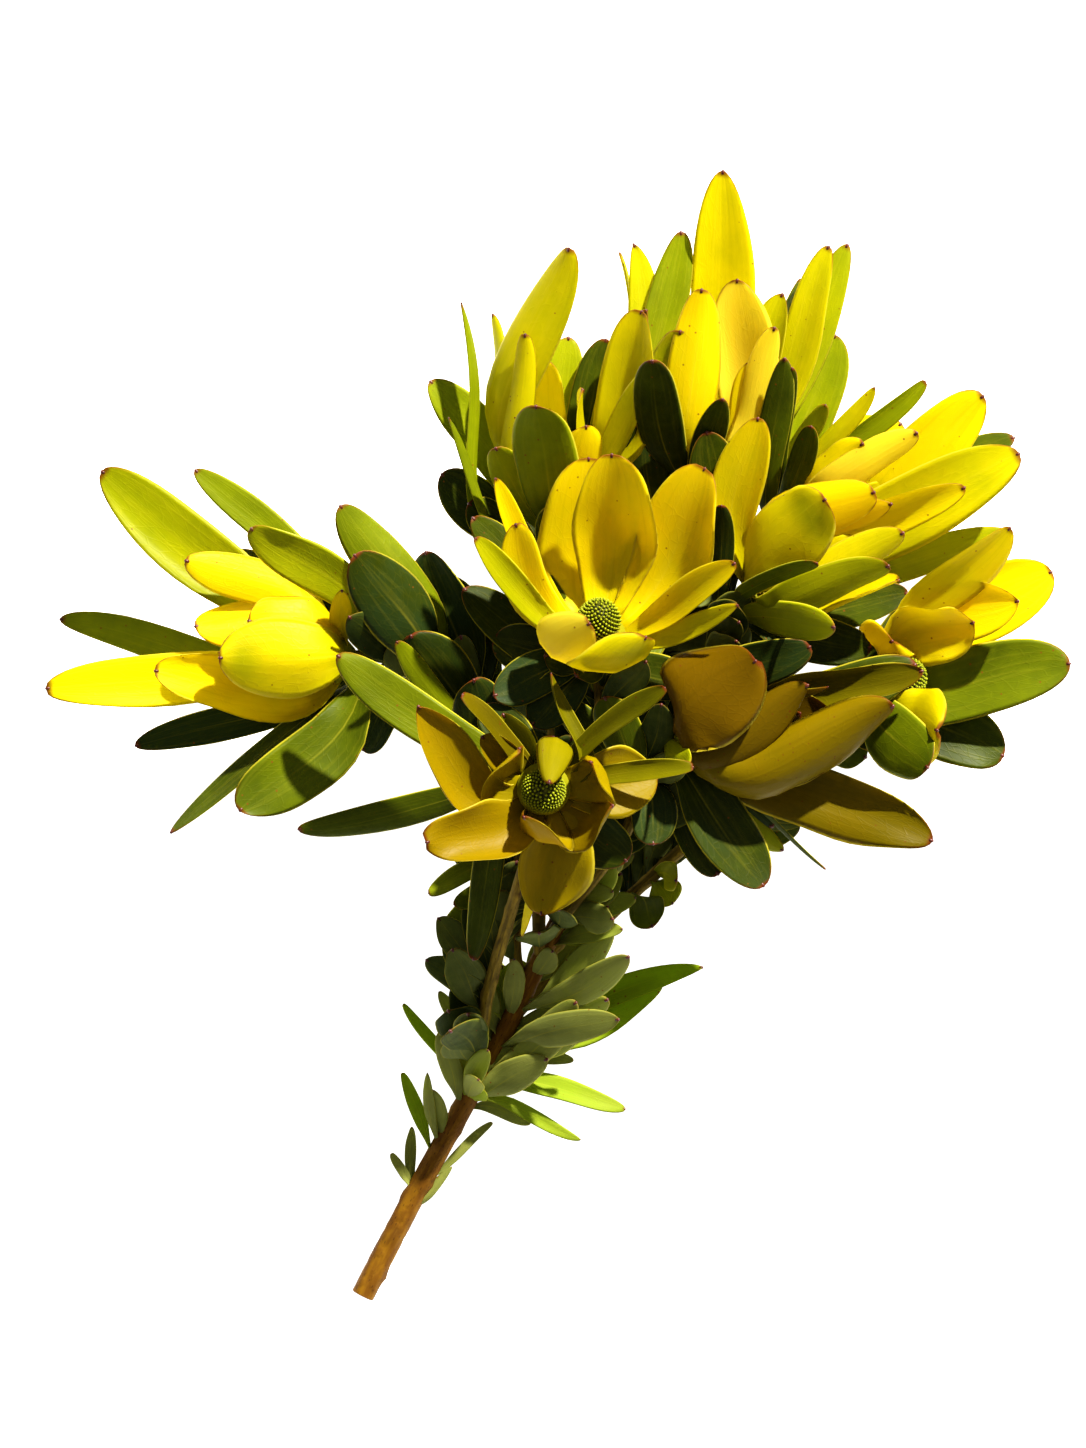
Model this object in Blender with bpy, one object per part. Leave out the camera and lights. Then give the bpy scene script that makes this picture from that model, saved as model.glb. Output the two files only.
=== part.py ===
"""A cut leucadendron stem: one woody stem, nine leafy branches and nine flower heads, laid on its side.

The frame is in metres. The surface is z = 0, +Y runs from the cut end to the flowers and +X to the right of
someone who looks down on it. Sizes and places below are in millimetres, and MM turns them into metres.
"""

from math import atan2, cos, exp, pi, radians, sin
from random import Random

import bmesh
import bpy
from mathutils import Quaternion, Vector
from mathutils.bvhtree import BVHTree

MM = 0.001

# Clearance between neighbouring solids, and what a blade is kept off others by while it is placed.
SEAT = 0.3 * MM
CLEARANCE = 0.45 * MM

# Stem and branches.
STEM_RADII = (4.7 * MM, 3.4 * MM)
STEM_SIDES = 8
BRANCH_RADII = (2.7 * MM, 2.3 * MM)
BRANCH_SIDES = 6
NECK = 11 * MM

# The base that a head's bracts grow from: radius and height of each turn of its outline.
RECEPTACLE = ((2.9 * MM, 0.0), (6.6 * MM, 3 * MM), (10.4 * MM, 6.6 * MM), (10.6 * MM, 8.2 * MM))
RECEPTACLE_SIDES = 8

# The cone inside the bracts, with its florets in offset rows.
CONE_RADIUS = 10 * MM
CONE_HEIGHT = 16 * MM
CONE_FOOT = 0.74
CONE_ROWS = 5
CONE_SIDES = 12
FLORET_RISE = 1.1 * MM

# Blades.
BLADE_THICKNESS = 1.2 * MM
BLADE_STATIONS = (0.0, 0.28, 0.62, 0.93)
SMALL_STATIONS = (0.0, 0.3, 0.7)
FRAMES = 24
TURNED_BY = 0.4
SWAY = 0.06
TURNED = 22
LEAF_SUNK = 1.3 * MM
SMALL_SUNK = 2 * MM
BRACT_SUNK = 1.6 * MM
CURL_AT_ROOT = 0.3
CURLED_BY = 0.4
SURFACE_SOFTNESS = 7 * MM
LOWEST_SPINE = 0.9 * MM
GOLDEN_ANGLE = radians(137.5)

# What the rules for the hidden blades draw from: spreads in degrees, the rest in millimetres.
HIDDEN_BRACTS = 2
FACES_UP = 0.6
HIDDEN_TRIES = 60
BRACT_SPREAD = (18, 44)
BRACT_FACES_DOWN = -0.15
BRACT_REACH = (44, 62)
BRACT_WIDTH = (17, 26)
BRACT_HEIGHT = (3.2, 5)
BRANCH_LEAVES = 2
LEAFY_BACK = (8, -50)
LEAF_SPREAD = (32, 58)
LEAF_REACH = (36, 56)
LEAF_WIDTH = (14, 21)
STEM_LEAVES = 15
LEAFY_STEM = (90, 205)
SMALL_SPREAD = (30, 55)
SMALL_REACH = (20, 32)
SMALL_WIDTH = (9, 14)

# The main stem's centre line, from the cut end up.
MAIN_STEM = (
    (-79, -225, 4.69),
    (-59, -186, 8),
    (-38, -148, 18),
    (-19, -113, 33),
    (-3, -79, 48),
    (10, -52, 58),
)

# Each branch: how far up the main stem it starts, the points it passes to the base of its head, and the way
# that its head points.
BRANCHES = {
    "lower_front": (
        100,
        ((-29, -105, 50), (-19, -69, 76), (-11, -41, 93), (-6, -19, 103)),
        (0, -0.1, 0.99),
    ),
    "far_right": (
        131,
        ((0, -92, 30), (25, -67, 30), (75, -21, 36), (124, 23, 55)),
        (0.94, 0.08, 0.33),
    ),
    "left": (
        141,
        ((-18, -80, 46), (-15, -49, 54), (-28, -3, 54), (-53, 23, 58), (-81, 33, 62)),
        (-0.97, -0.04, 0.22),
    ),
    "right": (
        157,
        ((8, -72, 44), (22, -50, 52), (33, -29, 52), (57, 19, 58), (75, 54, 66)),
        (0.82, 0.42, 0.38),
    ),
    "upper_left": (
        161,
        ((-8, -70, 58), (-5, -52, 64), (-2, -1, 60), (-1, 47, 58), (-3, 92, 60)),
        (-0.08, 0.92, 0.38),
    ),
    "lower_right": (
        171,
        ((4, -68, 62), (17, -52, 71), (33, -25, 80), (46, 0, 84)),
        (0.9, 0.06, 0.42),
    ),
    "upper_right": (
        176,
        ((10, -58, 43), (18, -42, 40), (39, -9, 36), (73, 51, 38), (96, 92, 46)),
        (0.8, 0.55, 0.22),
    ),
    "top": (
        191,
        ((1, -48, 46), (8, -30, 42), (25, -1, 42), (43, 55, 46), (55, 106, 55)),
        (0.08, 0.95, 0.28),
    ),
    "centre": (
        203,
        ((14, -36, 64), (17, -12, 74), (16, 36, 88)),
        (0.0, 0.72, 0.69),
    ),
}

# What each kind of blade has unless it says otherwise. Heights and distances back are in millimetres.
# leave is the angle between the blade's root and its axis, and cup how far its cross section curls, in
# degrees. show is how far the blade turns its upper face up, peak where it is widest, belly how far it
# bends and flare how its tip turns. How wide a blade's root is and how sharp its tip come after that.
KINDS = {
    "cup": {"height": 6.2, "leave": 66, "cup": 36, "show": 0.8, "peak": 0.56, "belly": 0.38, "flare": -0.1},
    "hood": {"height": 6.4, "leave": 98, "cup": 30, "show": 0, "peak": 0.5, "belly": 0.8, "flare": -0.8},
    "ray": {"height": 3.8, "leave": 66, "cup": 22, "show": 0.85, "peak": 0.6, "belly": 0.36, "flare": 0},
    "leaf": {"leave": 52, "cup": 12, "show": 0.88, "peak": 0.62, "belly": 0.34, "flare": 0},
    "small": {"leave": 40, "cup": 12, "show": 0.85, "peak": 0.54, "belly": 0.36, "flare": 0},
}
POINTS = {"cup": 0.1, "ray": 0.15, "leaf": 0.1, "small": 0.2}
BASE_WIDTHS = {"cup": 12 * MM, "ray": 6 * MM, "leaf": 4 * MM, "small": 2.4 * MM}


def cup(tip, width, **more):
    """A broad bract of the cup round a cone, from its tip's place and its width."""
    return {**KINDS["cup"], "kind": "cup", "tip": tip, "width": width, **more}


def hood(tip, width, side, **more):
    """A broad bract that bulges out to this side and arches back over the cone."""
    return {**KINDS["hood"], "kind": "cup", "tip": tip, "width": width, "side": side, **more}


def ray(tip, width, **more):
    """A long outer bract."""
    return {**KINDS["ray"], "kind": "ray", "tip": tip, "width": width, **more}


def leaf(tip, width, back, **more):
    """A leaf that grows this far back from the base of its head."""
    return {**KINDS["leaf"], "kind": "leaf", "tip": tip, "width": width, "back": back, **more}


def small_leaf(tip, width, distance, **more):
    """A small leaf that grows this far up the main stem from its cut end."""
    return {**KINDS["small"], "kind": "small", "tip": tip, "width": width, "distance": distance, **more}


def left_blades():
    return [
        cup((-135, 32, 92), 30, cup=44),
        cup((-124, 47, 86), 24),
        cup((-145, 45, 78), 25),
        cup((-149, 71, 72), 19, cup=25),
        cup((-161, 27, 78), 27, cup=30, height=5),
        ray((-86, 60, 88), 10, side=(0, 0.8, 0.6)),
        ray((-205, 20, 66), 21, leave=26),
        ray((-183, 107, 62), 27, leave=34),
        leaf((-201, 48, 52), 15, 20, side=(0, -1, 0), leave=60, belly=0.3),
        leaf((-146, 108, 44), 14, 9),
        leaf((-123, 83, 80), 20, 7, leave=64),
        leaf((-128, 76, 56), 17, 10),
        leaf((-170, -3, 46), 14, 8, leave=40),
        leaf((-155, -38, 52), 11, 14, leave=38, twist=50),
        leaf((-127, -29, 76), 27, 5, leave=72),
        leaf((-81, 73, 98), 29, 36, belly=0.45),
        leaf((-87, 93, 78), 22, 42),
        leaf((-53, 75, 66), 27, 54),
        leaf((-59, 41, 84), 26, 62),
        leaf((-65, 39, 92), 10, 70),
        leaf((-79, -5, 44), 17, 30),
        leaf((-48, 66, 50), 24, 56),
        leaf((-34, 24, 84), 22, 80),
        leaf((-52, -61, 60), 9, 120),
        leaf((-41, -66, 68), 9, 124),
        leaf((-47, -78, 54), 10, 128),
    ]


def upper_left_blades():
    return [
        cup((11, 124, 98), 22, flare=-0.4),
        cup((32, 170, 88), 25),
        cup((-13, 161, 92), 13),
        cup((-8, 150, 82), 24),
        cup((35, 171, 76), 17),
        ray((39, 148, 98), 13),
        ray((5, 195, 76), 23, side=(-1, 0.3, 0.3), leave=34),
        ray((-27, 170, 82), 12, side=(-1, 0, 0.3), leave=50, roll=50, twist=60),
        leaf((-38, 174, 80), 8, 26, side=(-1, 0, 0.3), leave=72, belly=0.5, roll=60),
        leaf((4, 161, 50), 20, 6),
        leaf((-51, 143, 62), 19, 9),
        leaf((-43, 128, 84), 6, 34, side=(-1, 0, 0.3), leave=66, roll=60),
        leaf((-47, 106, 54), 22, 22),
        leaf((-9, 132, 108), 26, 9),
        leaf((-25, 117, 92), 16, 13),
        leaf((-36, 94, 74), 18, 24),
        leaf((25, 128, 80), 15, 12),
        leaf((19, 160, 64), 19, 6),
    ]


def top_blades():
    return [
        cup((57, 179, 88), 21, cup=28),
        cup((49, 163, 95), 23, cup=28),
        cup((71, 183, 74), 27, cup=25),
        cup((86, 164, 84), 14),
        ray((66, 227, 68), 26),
        ray((49, 203, 58), 17, side=(-1, 0.2, 0.2), leave=40),
        ray((30, 198, 60), 14, side=(-1, 0.2, 0.2), leave=50),
        ray((25, 195, 52), 8, side=(-1, 0.2, 0.2), leave=55, roll=50),
        ray((108, 197, 62), 16),
        ray((78, 150, 76), 16),
        ray((90, 178, 58), 20),
        leaf((116, 198, 52), 16, 4),
        leaf((98, 184, 72), 8, 6, roll=50),
        leaf((37, 150, 98), 20, 8),
        leaf((33, 126, 76), 20, 34),
        leaf((65, 134, 104), 13, 12),
    ]


def upper_right_blades():
    return [
        ray((170, 137, 70), 27),
        cup((143, 122, 84), 15, cup=20),
        ray((126, 140, 76), 8),
        ray((147, 143, 52), 9, leave=44),
        cup((140, 102, 86), 16, cup=20),
        cup((122, 118, 80), 17),
        leaf((111, 162, 62), 23, 4),
        leaf((101, 125, 80), 11, 8),
        leaf((107, 134, 70), 9, 6),
        leaf((93, 148, 84), 11, 7),
        leaf((90, 151, 70), 13, 14),
        leaf((183, 121, 46), 18, 6),
    ]


def right_blades():
    return [
        cup((106, 95, 112), 33, cup=30),
        cup((126, 98, 98), 23, cup=30),
        cup((133, 94, 90), 17, flare=-0.4),
        cup((137, 82, 106), 18, cup=30),
        cup((131, 69, 104), 17, cup=30),
        ray((79, 127, 94), 22),
        ray((162, 100, 80), 19),
        ray((184, 114, 70), 29),
        leaf((103, 71, 118), 8, 5, roll=40),
        leaf((59, 122, 96), 23, 6),
        leaf((65, 94, 92), 10, 12),
        leaf((180, 83, 52), 15, 5),
        leaf((109, 44, 98), 15, 12),
        leaf((125, 36, 64), 20, 14),
        leaf((140, 58, 68), 19, 9),
    ]


def far_right_blades():
    return [
        cup((134, 40, 98), 26, flare=-0.4),
        cup((166, 47, 88), 30),
        cup((184, 55, 78), 27),
        cup((158, 56, 82), 18),
        cup((152, 3, 92), 32, side=(0.2, -1, 0.2)),
        ray((198, 67, 66), 32),
        ray((180, 84, 64), 22),
        leaf((205, 30, 56), 30, 10, side=(0, -1, -0.5), leave=44),
        leaf((179, -7, 48), 28, 7),
        leaf((148, -12, 68), 26, 5),
        leaf((128, -4, 54), 18, 10),
        leaf((160, 68, 60), 20, 8),
        leaf((47, -57, 52), 12, 120),
        leaf((37, -74, 54), 15, 133),
        leaf((46, -66, 62), 14, 124),
    ]


def lower_right_blades():
    return [
        cup((78, 31, 118), 41, side=(0, 0.15, 1), cup=36, leave=80, belly=0.45),
        cup((99, 21, 108), 21, side=(0, -0.6, 0.5), leave=56),
        cup((133, 13, 102), 29, side=(0, -0.9, 0.3), cup=30, leave=56),
        cup((108, -11, 104), 13),
        ray((107, 21, 106), 5, roll=50),
        ray((145, 27, 88), 18),
        ray((149, -41, 80), 27),
        leaf((82, -59, 76), 27, 8),
        leaf((107, -53, 68), 4, 12, side=(0, -1, 0), leave=78, roll=50),
        leaf((86, -34, 70), 17, 16),
        leaf((53, -11, 112), 10, 4),
        leaf((143, 30, 70), 24, 8),
        leaf((100, 36, 92), 20, 7),
        leaf((90, -45, 52), 13, 24),
        leaf((64, -54, 72), 20, 26),
        leaf((38, -42, 88), 20, 30),
    ]


def centre_blades():
    return [
        hood((34, 41, 124), 44, (0.1, -1, 0.1), cup=22, belly=0.55),
        hood((13, 46, 122), 28, (-0.8, -0.7, 0), cup=28),
        cup((21, 112, 118), 34),
        cup((12, 111, 104), 36, side=(-0.35, 1, 0)),
        cup((57, 107, 110), 33),
        ray((-17, 85, 112), 18, leave=88, flare=-0.4),
        ray((-25, 103, 118), 11, leave=86, flare=-0.4),
        ray((-32, 79, 122), 12, leave=88, flare=-0.3),
        ray((69, 69, 126), 14),
        ray((71, 53, 120), 9),
        leaf((-6, 33, 116), 17, 5),
        leaf((-34, 88, 100), 17, 8),
        leaf((-26, 17, 96), 19, 12),
        leaf((-11, 5, 98), 20, 14),
        leaf((7, 25, 118), 15, 6, side=(0, -1, 0)),
        leaf((54, 22, 88), 20, 14),
        leaf((42, 2, 88), 18, 20),
        leaf((-26, 40, 84), 21, 16),
        leaf((-38, 60, 70), 20, 24),
    ]


def lower_front_blades():
    return [
        hood((-15, -4, 130), 25, (-1, -0.1, 0), cup=24, belly=0.66, point=0.3),
        hood((-14, -31, 130), 27, (0, -1, 0), point=0.4),
        hood((21, -26, 128), 23, (0.6, -0.9, 0), cup=24, belly=0.66, point=0.4),
        hood((-4, -18, 136), 17, (0.25, 1, 0), point=0.4),
        hood((13, -9, 130), 24, (1, 0.2, 0), point=0.3),
        cup((-7, -70, 116), 31, side=(0.5, -1, 0), height=5, show=0.6, point=0.5),
        cup((-52, -41, 118), 28, side=(-0.6, -1, 0), height=5, show=0.6, point=0.5),
        cup((39, -16, 128), 30, height=5, show=0.5, point=0.4),
        cup((-56, 13, 122), 27, side=(-1, -0.5, 0), height=5, leave=88, show=0.5, point=0.5),
        ray((-31, 1, 126), 15),
        ray((-37, 18, 120), 10, roll=30),
        ray((-22, 10, 122), 15),
        ray((-3, 26, 134), 8, side=(1, 0.3, 0), belly=0.55, twist=70),
        ray((41, 20, 124), 9),
        ray((53, -11, 118), 9),
        leaf((-88, 33, 102), 19, 8),
        leaf((-30, 13, 88), 18, 10),
        leaf((-104, -36, 66), 13, 14, leave=84),
        leaf((-35, -88, 86), 13, 12),
        leaf((-14, -79, 96), 7, 10, roll=60),
        leaf((27, -49, 92), 24, 10),
    ]


BLADES = {
    "lower_front": lower_front_blades,
    "centre": centre_blades,
    "lower_right": lower_right_blades,
    "right": right_blades,
    "left": left_blades,
    "upper_left": upper_left_blades,
    "top": top_blades,
    "upper_right": upper_right_blades,
    "far_right": far_right_blades,
}


def resting_leaves():
    """Leaves below the crown that bend down onto the surface and carry it, by branch."""
    return {
        "far_right": [leaf((125, -8, -20), 17, 42)],
        "upper_right": [leaf((125, 60, -20), 17, 32)],
        "top": [leaf((72, 118, -20), 16, 24), leaf((20, 120, -20), 16, 34)],
        "upper_left": [leaf((-30, 100, -20), 17, 32)],
        "left": [leaf((-42, 2, -20), 17, 66), leaf((-80, 62, -20), 17, 24)],
    }


def stem_blades():
    """The small leaves of the main stem that stand out by themselves."""
    return [
        small_leaf((-67, -168, 14), 4, 47),
        small_leaf((-59, -157, 12), 5, 48),
        small_leaf((-43, -173, 12), 4, 41),
        small_leaf((-27, -155, 14), 4, 55),
        small_leaf((-62, -135, 22), 6, 64),
        small_leaf((-53, -135, 32), 5, 69),
        small_leaf((-11, -155, 16), 6, 88),
        small_leaf((9, -162, 18), 6, 92),
        small_leaf((27, -149, 24), 10, 98),
        small_leaf((-5, -129, 44), 14, 93),
        small_leaf((-62, -107, 34), 5, 95),
        small_leaf((6, -129, 26), 7, 110),
        small_leaf((-48, -102, 44), 7, 112),
        small_leaf((14, -116, 32), 8, 122),
        small_leaf((8, -105, 58), 15, 106),
        small_leaf((20, -103, 54), 15, 113, leave=60),
        small_leaf((42, -99, 40), 15, 120, leave=64),
        small_leaf((58, -92, 34), 12, 128, leave=66),
        small_leaf((34, -84, 52), 15, 136, leave=62),
        small_leaf((22, -78, 66), 14, 142, leave=56),
        small_leaf((-48, -118, 38), 9, 88),
        small_leaf((-50, -141, 28), 9, 72),
        small_leaf((24, -112, 50), 14, 118),
    ]


def at(x, y, z):
    """A point of the frame from its place in millimetres."""
    return Vector((x, y, z)) * MM


# Curves


def bend(curve, s):
    """A point of the cubic curve with these four points, at share s of it."""
    r = 1 - s
    return curve[0] * r**3 + curve[1] * (3 * r * r * s) + curve[2] * (3 * r * s * s) + curve[3] * s**3


def bend_way(curve, s):
    """The direction of that curve there."""
    r = 1 - s
    first = (curve[1] - curve[0]) * (r * r)
    second = (curve[2] - curve[1]) * (2 * r * s)
    return (first + second + (curve[3] - curve[2]) * (s * s)).normalized()


def through(points, steps):
    """Points of a smooth curve through the given ones, with this many steps between two of them."""
    steps_between = [(b - a).normalized() for a, b in zip(points, points[1:])]
    ways = [steps_between[0]]
    ways += [(a + b).normalized() for a, b in zip(steps_between, steps_between[1:])]
    ways.append(steps_between[-1])
    found = []
    for a, b, leaving, arriving in zip(points, points[1:], ways, ways[1:]):
        reach = (b - a).length / 3
        curve = (a, a + leaving * reach, b - arriving * reach, b)
        found += [bend(curve, k / steps) for k in range(steps)]
    return found + [points[-1]]


def along(line, distance):
    """The point this far along a line, and the line's direction there."""
    left = distance
    for a, b in zip(line, line[1:]):
        step = (b - a).length
        if left <= step:
            return a.lerp(b, left / step), (b - a).normalized()
        left -= step
    return line[-1], (line[-1] - line[-2]).normalized()


def length_of(line):
    return sum((b - a).length for a, b in zip(line, line[1:]))


def stem_line():
    return through([at(*place) for place in MAIN_STEM], 2)


def head_axis(name):
    return Vector(BRANCHES[name][2]).normalized()


def branch_line(name):
    """A branch's centre line, from inside the main stem to the base of its head."""
    distance, places, _ = BRANCHES[name]
    start, _ = along(stem_line(), distance * MM)
    points = [start, *(at(*place) for place in places)]
    neck = points[-1] - head_axis(name) * NECK
    return through([*points[:-1], neck, points[-1]], 2)


def receptacle_radius(height):
    for (low_radius, low), (radius, high) in zip(RECEPTACLE, RECEPTACLE[1:]):
        if height <= high:
            return low_radius + (radius - low_radius) * (height - low) / (high - low)
    return RECEPTACLE[-1][0]


# Rods, turned bases and cones


def square_to(way):
    """Two directions square to the given one and to each other."""
    side = way.cross(Vector((0, 0, 1)))
    if side.length < 0.1:
        side = way.cross(Vector((0, 1, 0)))
    side.normalize()
    return side, way.cross(side).normalized()


def tube(line, radii, sides, more=0.0, last_way=None):
    """A round rod along a line, from the first radius to the second, wider and longer all over by more."""
    corners = []
    for k, point in enumerate(line):
        before = line[max(k - 1, 0)]
        after = line[min(k + 1, len(line) - 1)]
        way = (after - before).normalized()
        if last_way and k == len(line) - 1:
            way = last_way
        side, up = square_to(way)
        share = k / (len(line) - 1)
        radius = radii[0] + (radii[1] - radii[0]) * share + more / cos(pi / sides)
        shift = way * more * ((k == len(line) - 1) - (k == 0))
        for n in range(sides):
            turn = 2 * pi * n / sides
            corners.append(point + shift + (side * cos(turn) + up * sin(turn)) * radius)
    return corners, ring_triangles(len(line), sides)


def turned(profile, sides, base, axis, above):
    """A solid turned round an axis: radius and height of each ring of its outline."""
    side, up = square_to(axis)
    corners = []
    for radius, height in profile:
        for n in range(sides):
            turn = 2 * pi * n / sides
            corners.append(base + axis * (above + height) + (side * cos(turn) + up * sin(turn)) * radius)
    return corners, ring_triangles(len(profile), sides)


def ring_triangles(rings, sides):
    """Triangles between equal rings, with both ends closed."""
    triangles = []
    for k in range(rings - 1):
        for n in range(sides):
            a, b = k * sides + n, k * sides + (n + 1) % sides
            triangles += [(a, b, b + sides), (a, b + sides, a + sides)]
    last = (rings - 1) * sides
    for n in range(1, sides - 1):
        triangles += [(0, n + 1, n), (last, last + n, last + n + 1)]
    return triangles


def cone_outline(angle):
    """The cone's radius at this angle above its foot, as a share: a dome that narrows again at its foot."""
    return cos(angle) ** 0.8 * min(1, CONE_FOOT + (1 - CONE_FOOT) * angle / radians(30))


def cone_solid(name, line):
    """The cone: rows of florets that stand out between hollows, each row half a floret on from the last."""
    axis = head_axis(name)
    side, up = square_to(axis)
    foot = line[-1] + axis * (2 * SEAT + RECEPTACLE[-1][1])
    step = 2 * pi / CONE_SIDES
    corners = []
    for row in range(CONE_ROWS):
        angle = row / CONE_ROWS * pi / 2
        for n in range(CONE_SIDES):
            rise = FLORET_RISE * ((n + row) % 2) if row else 0
            radius = (CONE_RADIUS - FLORET_RISE) * cone_outline(angle) + rise * cos(angle)
            height = (CONE_HEIGHT - FLORET_RISE) * sin(angle) + rise * sin(angle)
            corners.append(foot + axis * height + (side * cos(n * step) + up * sin(n * step)) * radius)
    top = len(corners)
    corners.append(foot + axis * CONE_HEIGHT)
    triangles = [(0, n + 1, n) for n in range(1, CONE_SIDES - 1)]
    for row in range(CONE_ROWS - 1):
        for n in range(CONE_SIDES):
            a, b = row * CONE_SIDES + n, row * CONE_SIDES + (n + 1) % CONE_SIDES
            if (n + row) % 2:
                triangles += [(a, b, a + CONE_SIDES), (b, b + CONE_SIDES, a + CONE_SIDES)]
            else:
                triangles += [(a, b, b + CONE_SIDES), (a, b + CONE_SIDES, a + CONE_SIDES)]
    last = top - CONE_SIDES
    triangles += [(last + n, last + (n + 1) % CONE_SIDES, top) for n in range(CONE_SIDES)]
    return corners, triangles


# Blades


class Blade:
    """The curved surface of one blade. lift, opened and shrink bend it clear of what it would cross."""

    def __init__(self, facts, line, axis=None, lift=0.0, opened=0, shrink=1.0):
        self.facts = facts
        tip = at(*facts["tip"]) + Vector((0, 0, lift))
        if "back" in facts:
            seat, axis = along(line, length_of(line) - facts["back"] * MM)
            sunk = LEAF_SUNK
        elif "distance" in facts:
            seat, axis = along(line, facts["distance"] * MM)
            sunk = SMALL_SUNK
        else:
            seat = line[-1] + axis * (SEAT + facts["height"] * MM)
            sunk = receptacle_radius(facts["height"] * MM) - BRACT_SUNK
        toward = Vector(facts["side"]) if "side" in facts else tip - seat
        out = (toward - axis * toward.dot(axis)).normalized()
        leave = radians(facts["leave"] + opened)
        way = axis * cos(leave) + out * sin(leave)
        root = seat + out * sunk
        tip = root.lerp(tip, shrink)
        reach = (tip - root).length
        arrive = ((tip - root).normalized() + out * facts["flare"]).normalized()
        handle = reach * facts["belly"]
        self.curve = (root, root + way * handle, tip - arrive * handle, tip)
        self.width = facts["width"] * MM * (0.5 + 0.5 * shrink)
        rule = Random(str(facts["tip"]))
        self.sway = rule.uniform(-SWAY, SWAY) * reach
        self.turned = radians(rule.uniform(-TURNED, TURNED) + facts.get("twist", 0))
        self.faces = self.carried(axis * sin(leave) - out * cos(leave))

    def carried(self, face):
        """The way that the upper face looks, carried along the blade and turned by roll and twist."""
        ways = [bend_way(self.curve, k / FRAMES) for k in range(FRAMES + 1)]
        found = [face]
        for before, way in zip(ways, ways[1:]):
            found.append(before.rotation_difference(way) @ found[-1])
        up = Vector((0, 0, 1 if found[FRAMES // 2].z >= 0 else -1))
        shown = self.facts["show"] * angle_about(ways[FRAMES // 2], found[FRAMES // 2], up)
        for k, way in enumerate(ways):
            s = k / FRAMES
            turn = (shown + radians(self.facts.get("roll", 0))) * min(1, s / TURNED_BY)
            turn += self.turned * s
            found[k] = Quaternion(way, turn) @ found[k]
        return found

    def half_width(self, s):
        peak = self.facts["peak"]
        point = self.facts.get("point", POINTS[self.facts["kind"]])
        base = min(0.8, BASE_WIDTHS[self.facts["kind"]] / self.width)
        if s < peak:
            share = base + (1 - base) * sin(s / peak * pi / 2)
        else:
            t = (s - peak) / (1 - peak)
            share = (1 - point) * (1 - t**2.6) ** 0.52 + point * (1 - t**1.6)
        return share * self.width / 2

    def point(self, s, u, above=0.0, pad=0.0):
        """The point at share s of the length and u from -1 to 1 across, this far above the surface."""
        k = min(int(s * FRAMES), FRAMES - 1)
        face = self.faces[k].lerp(self.faces[k + 1], s * FRAMES - k).normalized()
        across = bend_way(self.curve, s).cross(face).normalized()
        curl = radians(self.facts["cup"]) * min(1, CURL_AT_ROOT + (1 - CURL_AT_ROOT) * s / CURLED_BY)
        radius = (self.half_width(s) + pad) / sin(curl)
        found = eased(bend(self.curve, s) + across * (self.sway * sin(pi * s)))
        found += across * (radius * sin(curl * u)) + face * (radius * (1 - cos(curl * u)))
        found += (face * cos(curl * u) - across * sin(curl * u)) * above
        return Vector((found.x, found.y, max(found.z, 0)))


def angle_about(way, face, wanted):
    """The turn about a way that brings a face as near as it can to a wanted direction."""
    return atan2(way.dot(face.cross(wanted)), face.dot(wanted - way * way.dot(wanted)))


def eased(point):
    """A low point of a blade's middle line, eased up, so that the blade bends along the surface."""
    room = SURFACE_SOFTNESS - LOWEST_SPINE
    if point.z < SURFACE_SOFTNESS:
        return Vector((point.x, point.y, LOWEST_SPINE + room * exp((point.z - SURFACE_SOFTNESS) / room)))
    return point


def blade_solid(blade, stations, pad=0.0):
    """Corners and triangles of a thin closed blade, with one corner at the tip.

    A bract has four corners at each station: its edges, and its middle above and below. A leaf is so flat
    that it has three, without the one above. A bract's two faces are split alike, and a leaf's each bulge
    outward, so that a twist never makes them cross.
    """
    half = BLADE_THICKNESS / 2 + pad
    flat = blade.facts["kind"] in ("leaf", "small")
    places = ((-1, 0), (1, 0), (0, -half)) if flat else ((-1, 0), (0, half), (1, 0), (0, -half))
    sides = len(places)
    corners = [blade.point(s, u, above, pad) for s in stations for u, above in places]
    corners.append(blade.point(1, 0, 0, pad) + bend_way(blade.curve, 1) * pad)
    tip = len(corners) - 1
    last = tip - sides
    triangles = [(0, n + 1, n) for n in range(1, sides - 1)]
    for first in range(0, last, sides):
        centre = sum(corners[first : first + 2 * sides], Vector()) / (2 * sides)
        for n in range(sides):
            a, b = first + n, first + (n + 1) % sides
            one = (corners[a] + corners[b + sides]) / 2 - centre
            other = (corners[b] + corners[a + sides]) / 2 - centre
            if (one.length < other.length) if flat else n % 2:
                triangles += [(a, b, a + sides), (b, b + sides, a + sides)]
            else:
                triangles += [(a, b, b + sides), (a, b + sides, a + sides)]
    triangles += [(last + n, last + (n + 1) % sides, tip) for n in range(sides)]
    return corners, triangles


# Placing blades clear of each other


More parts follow.
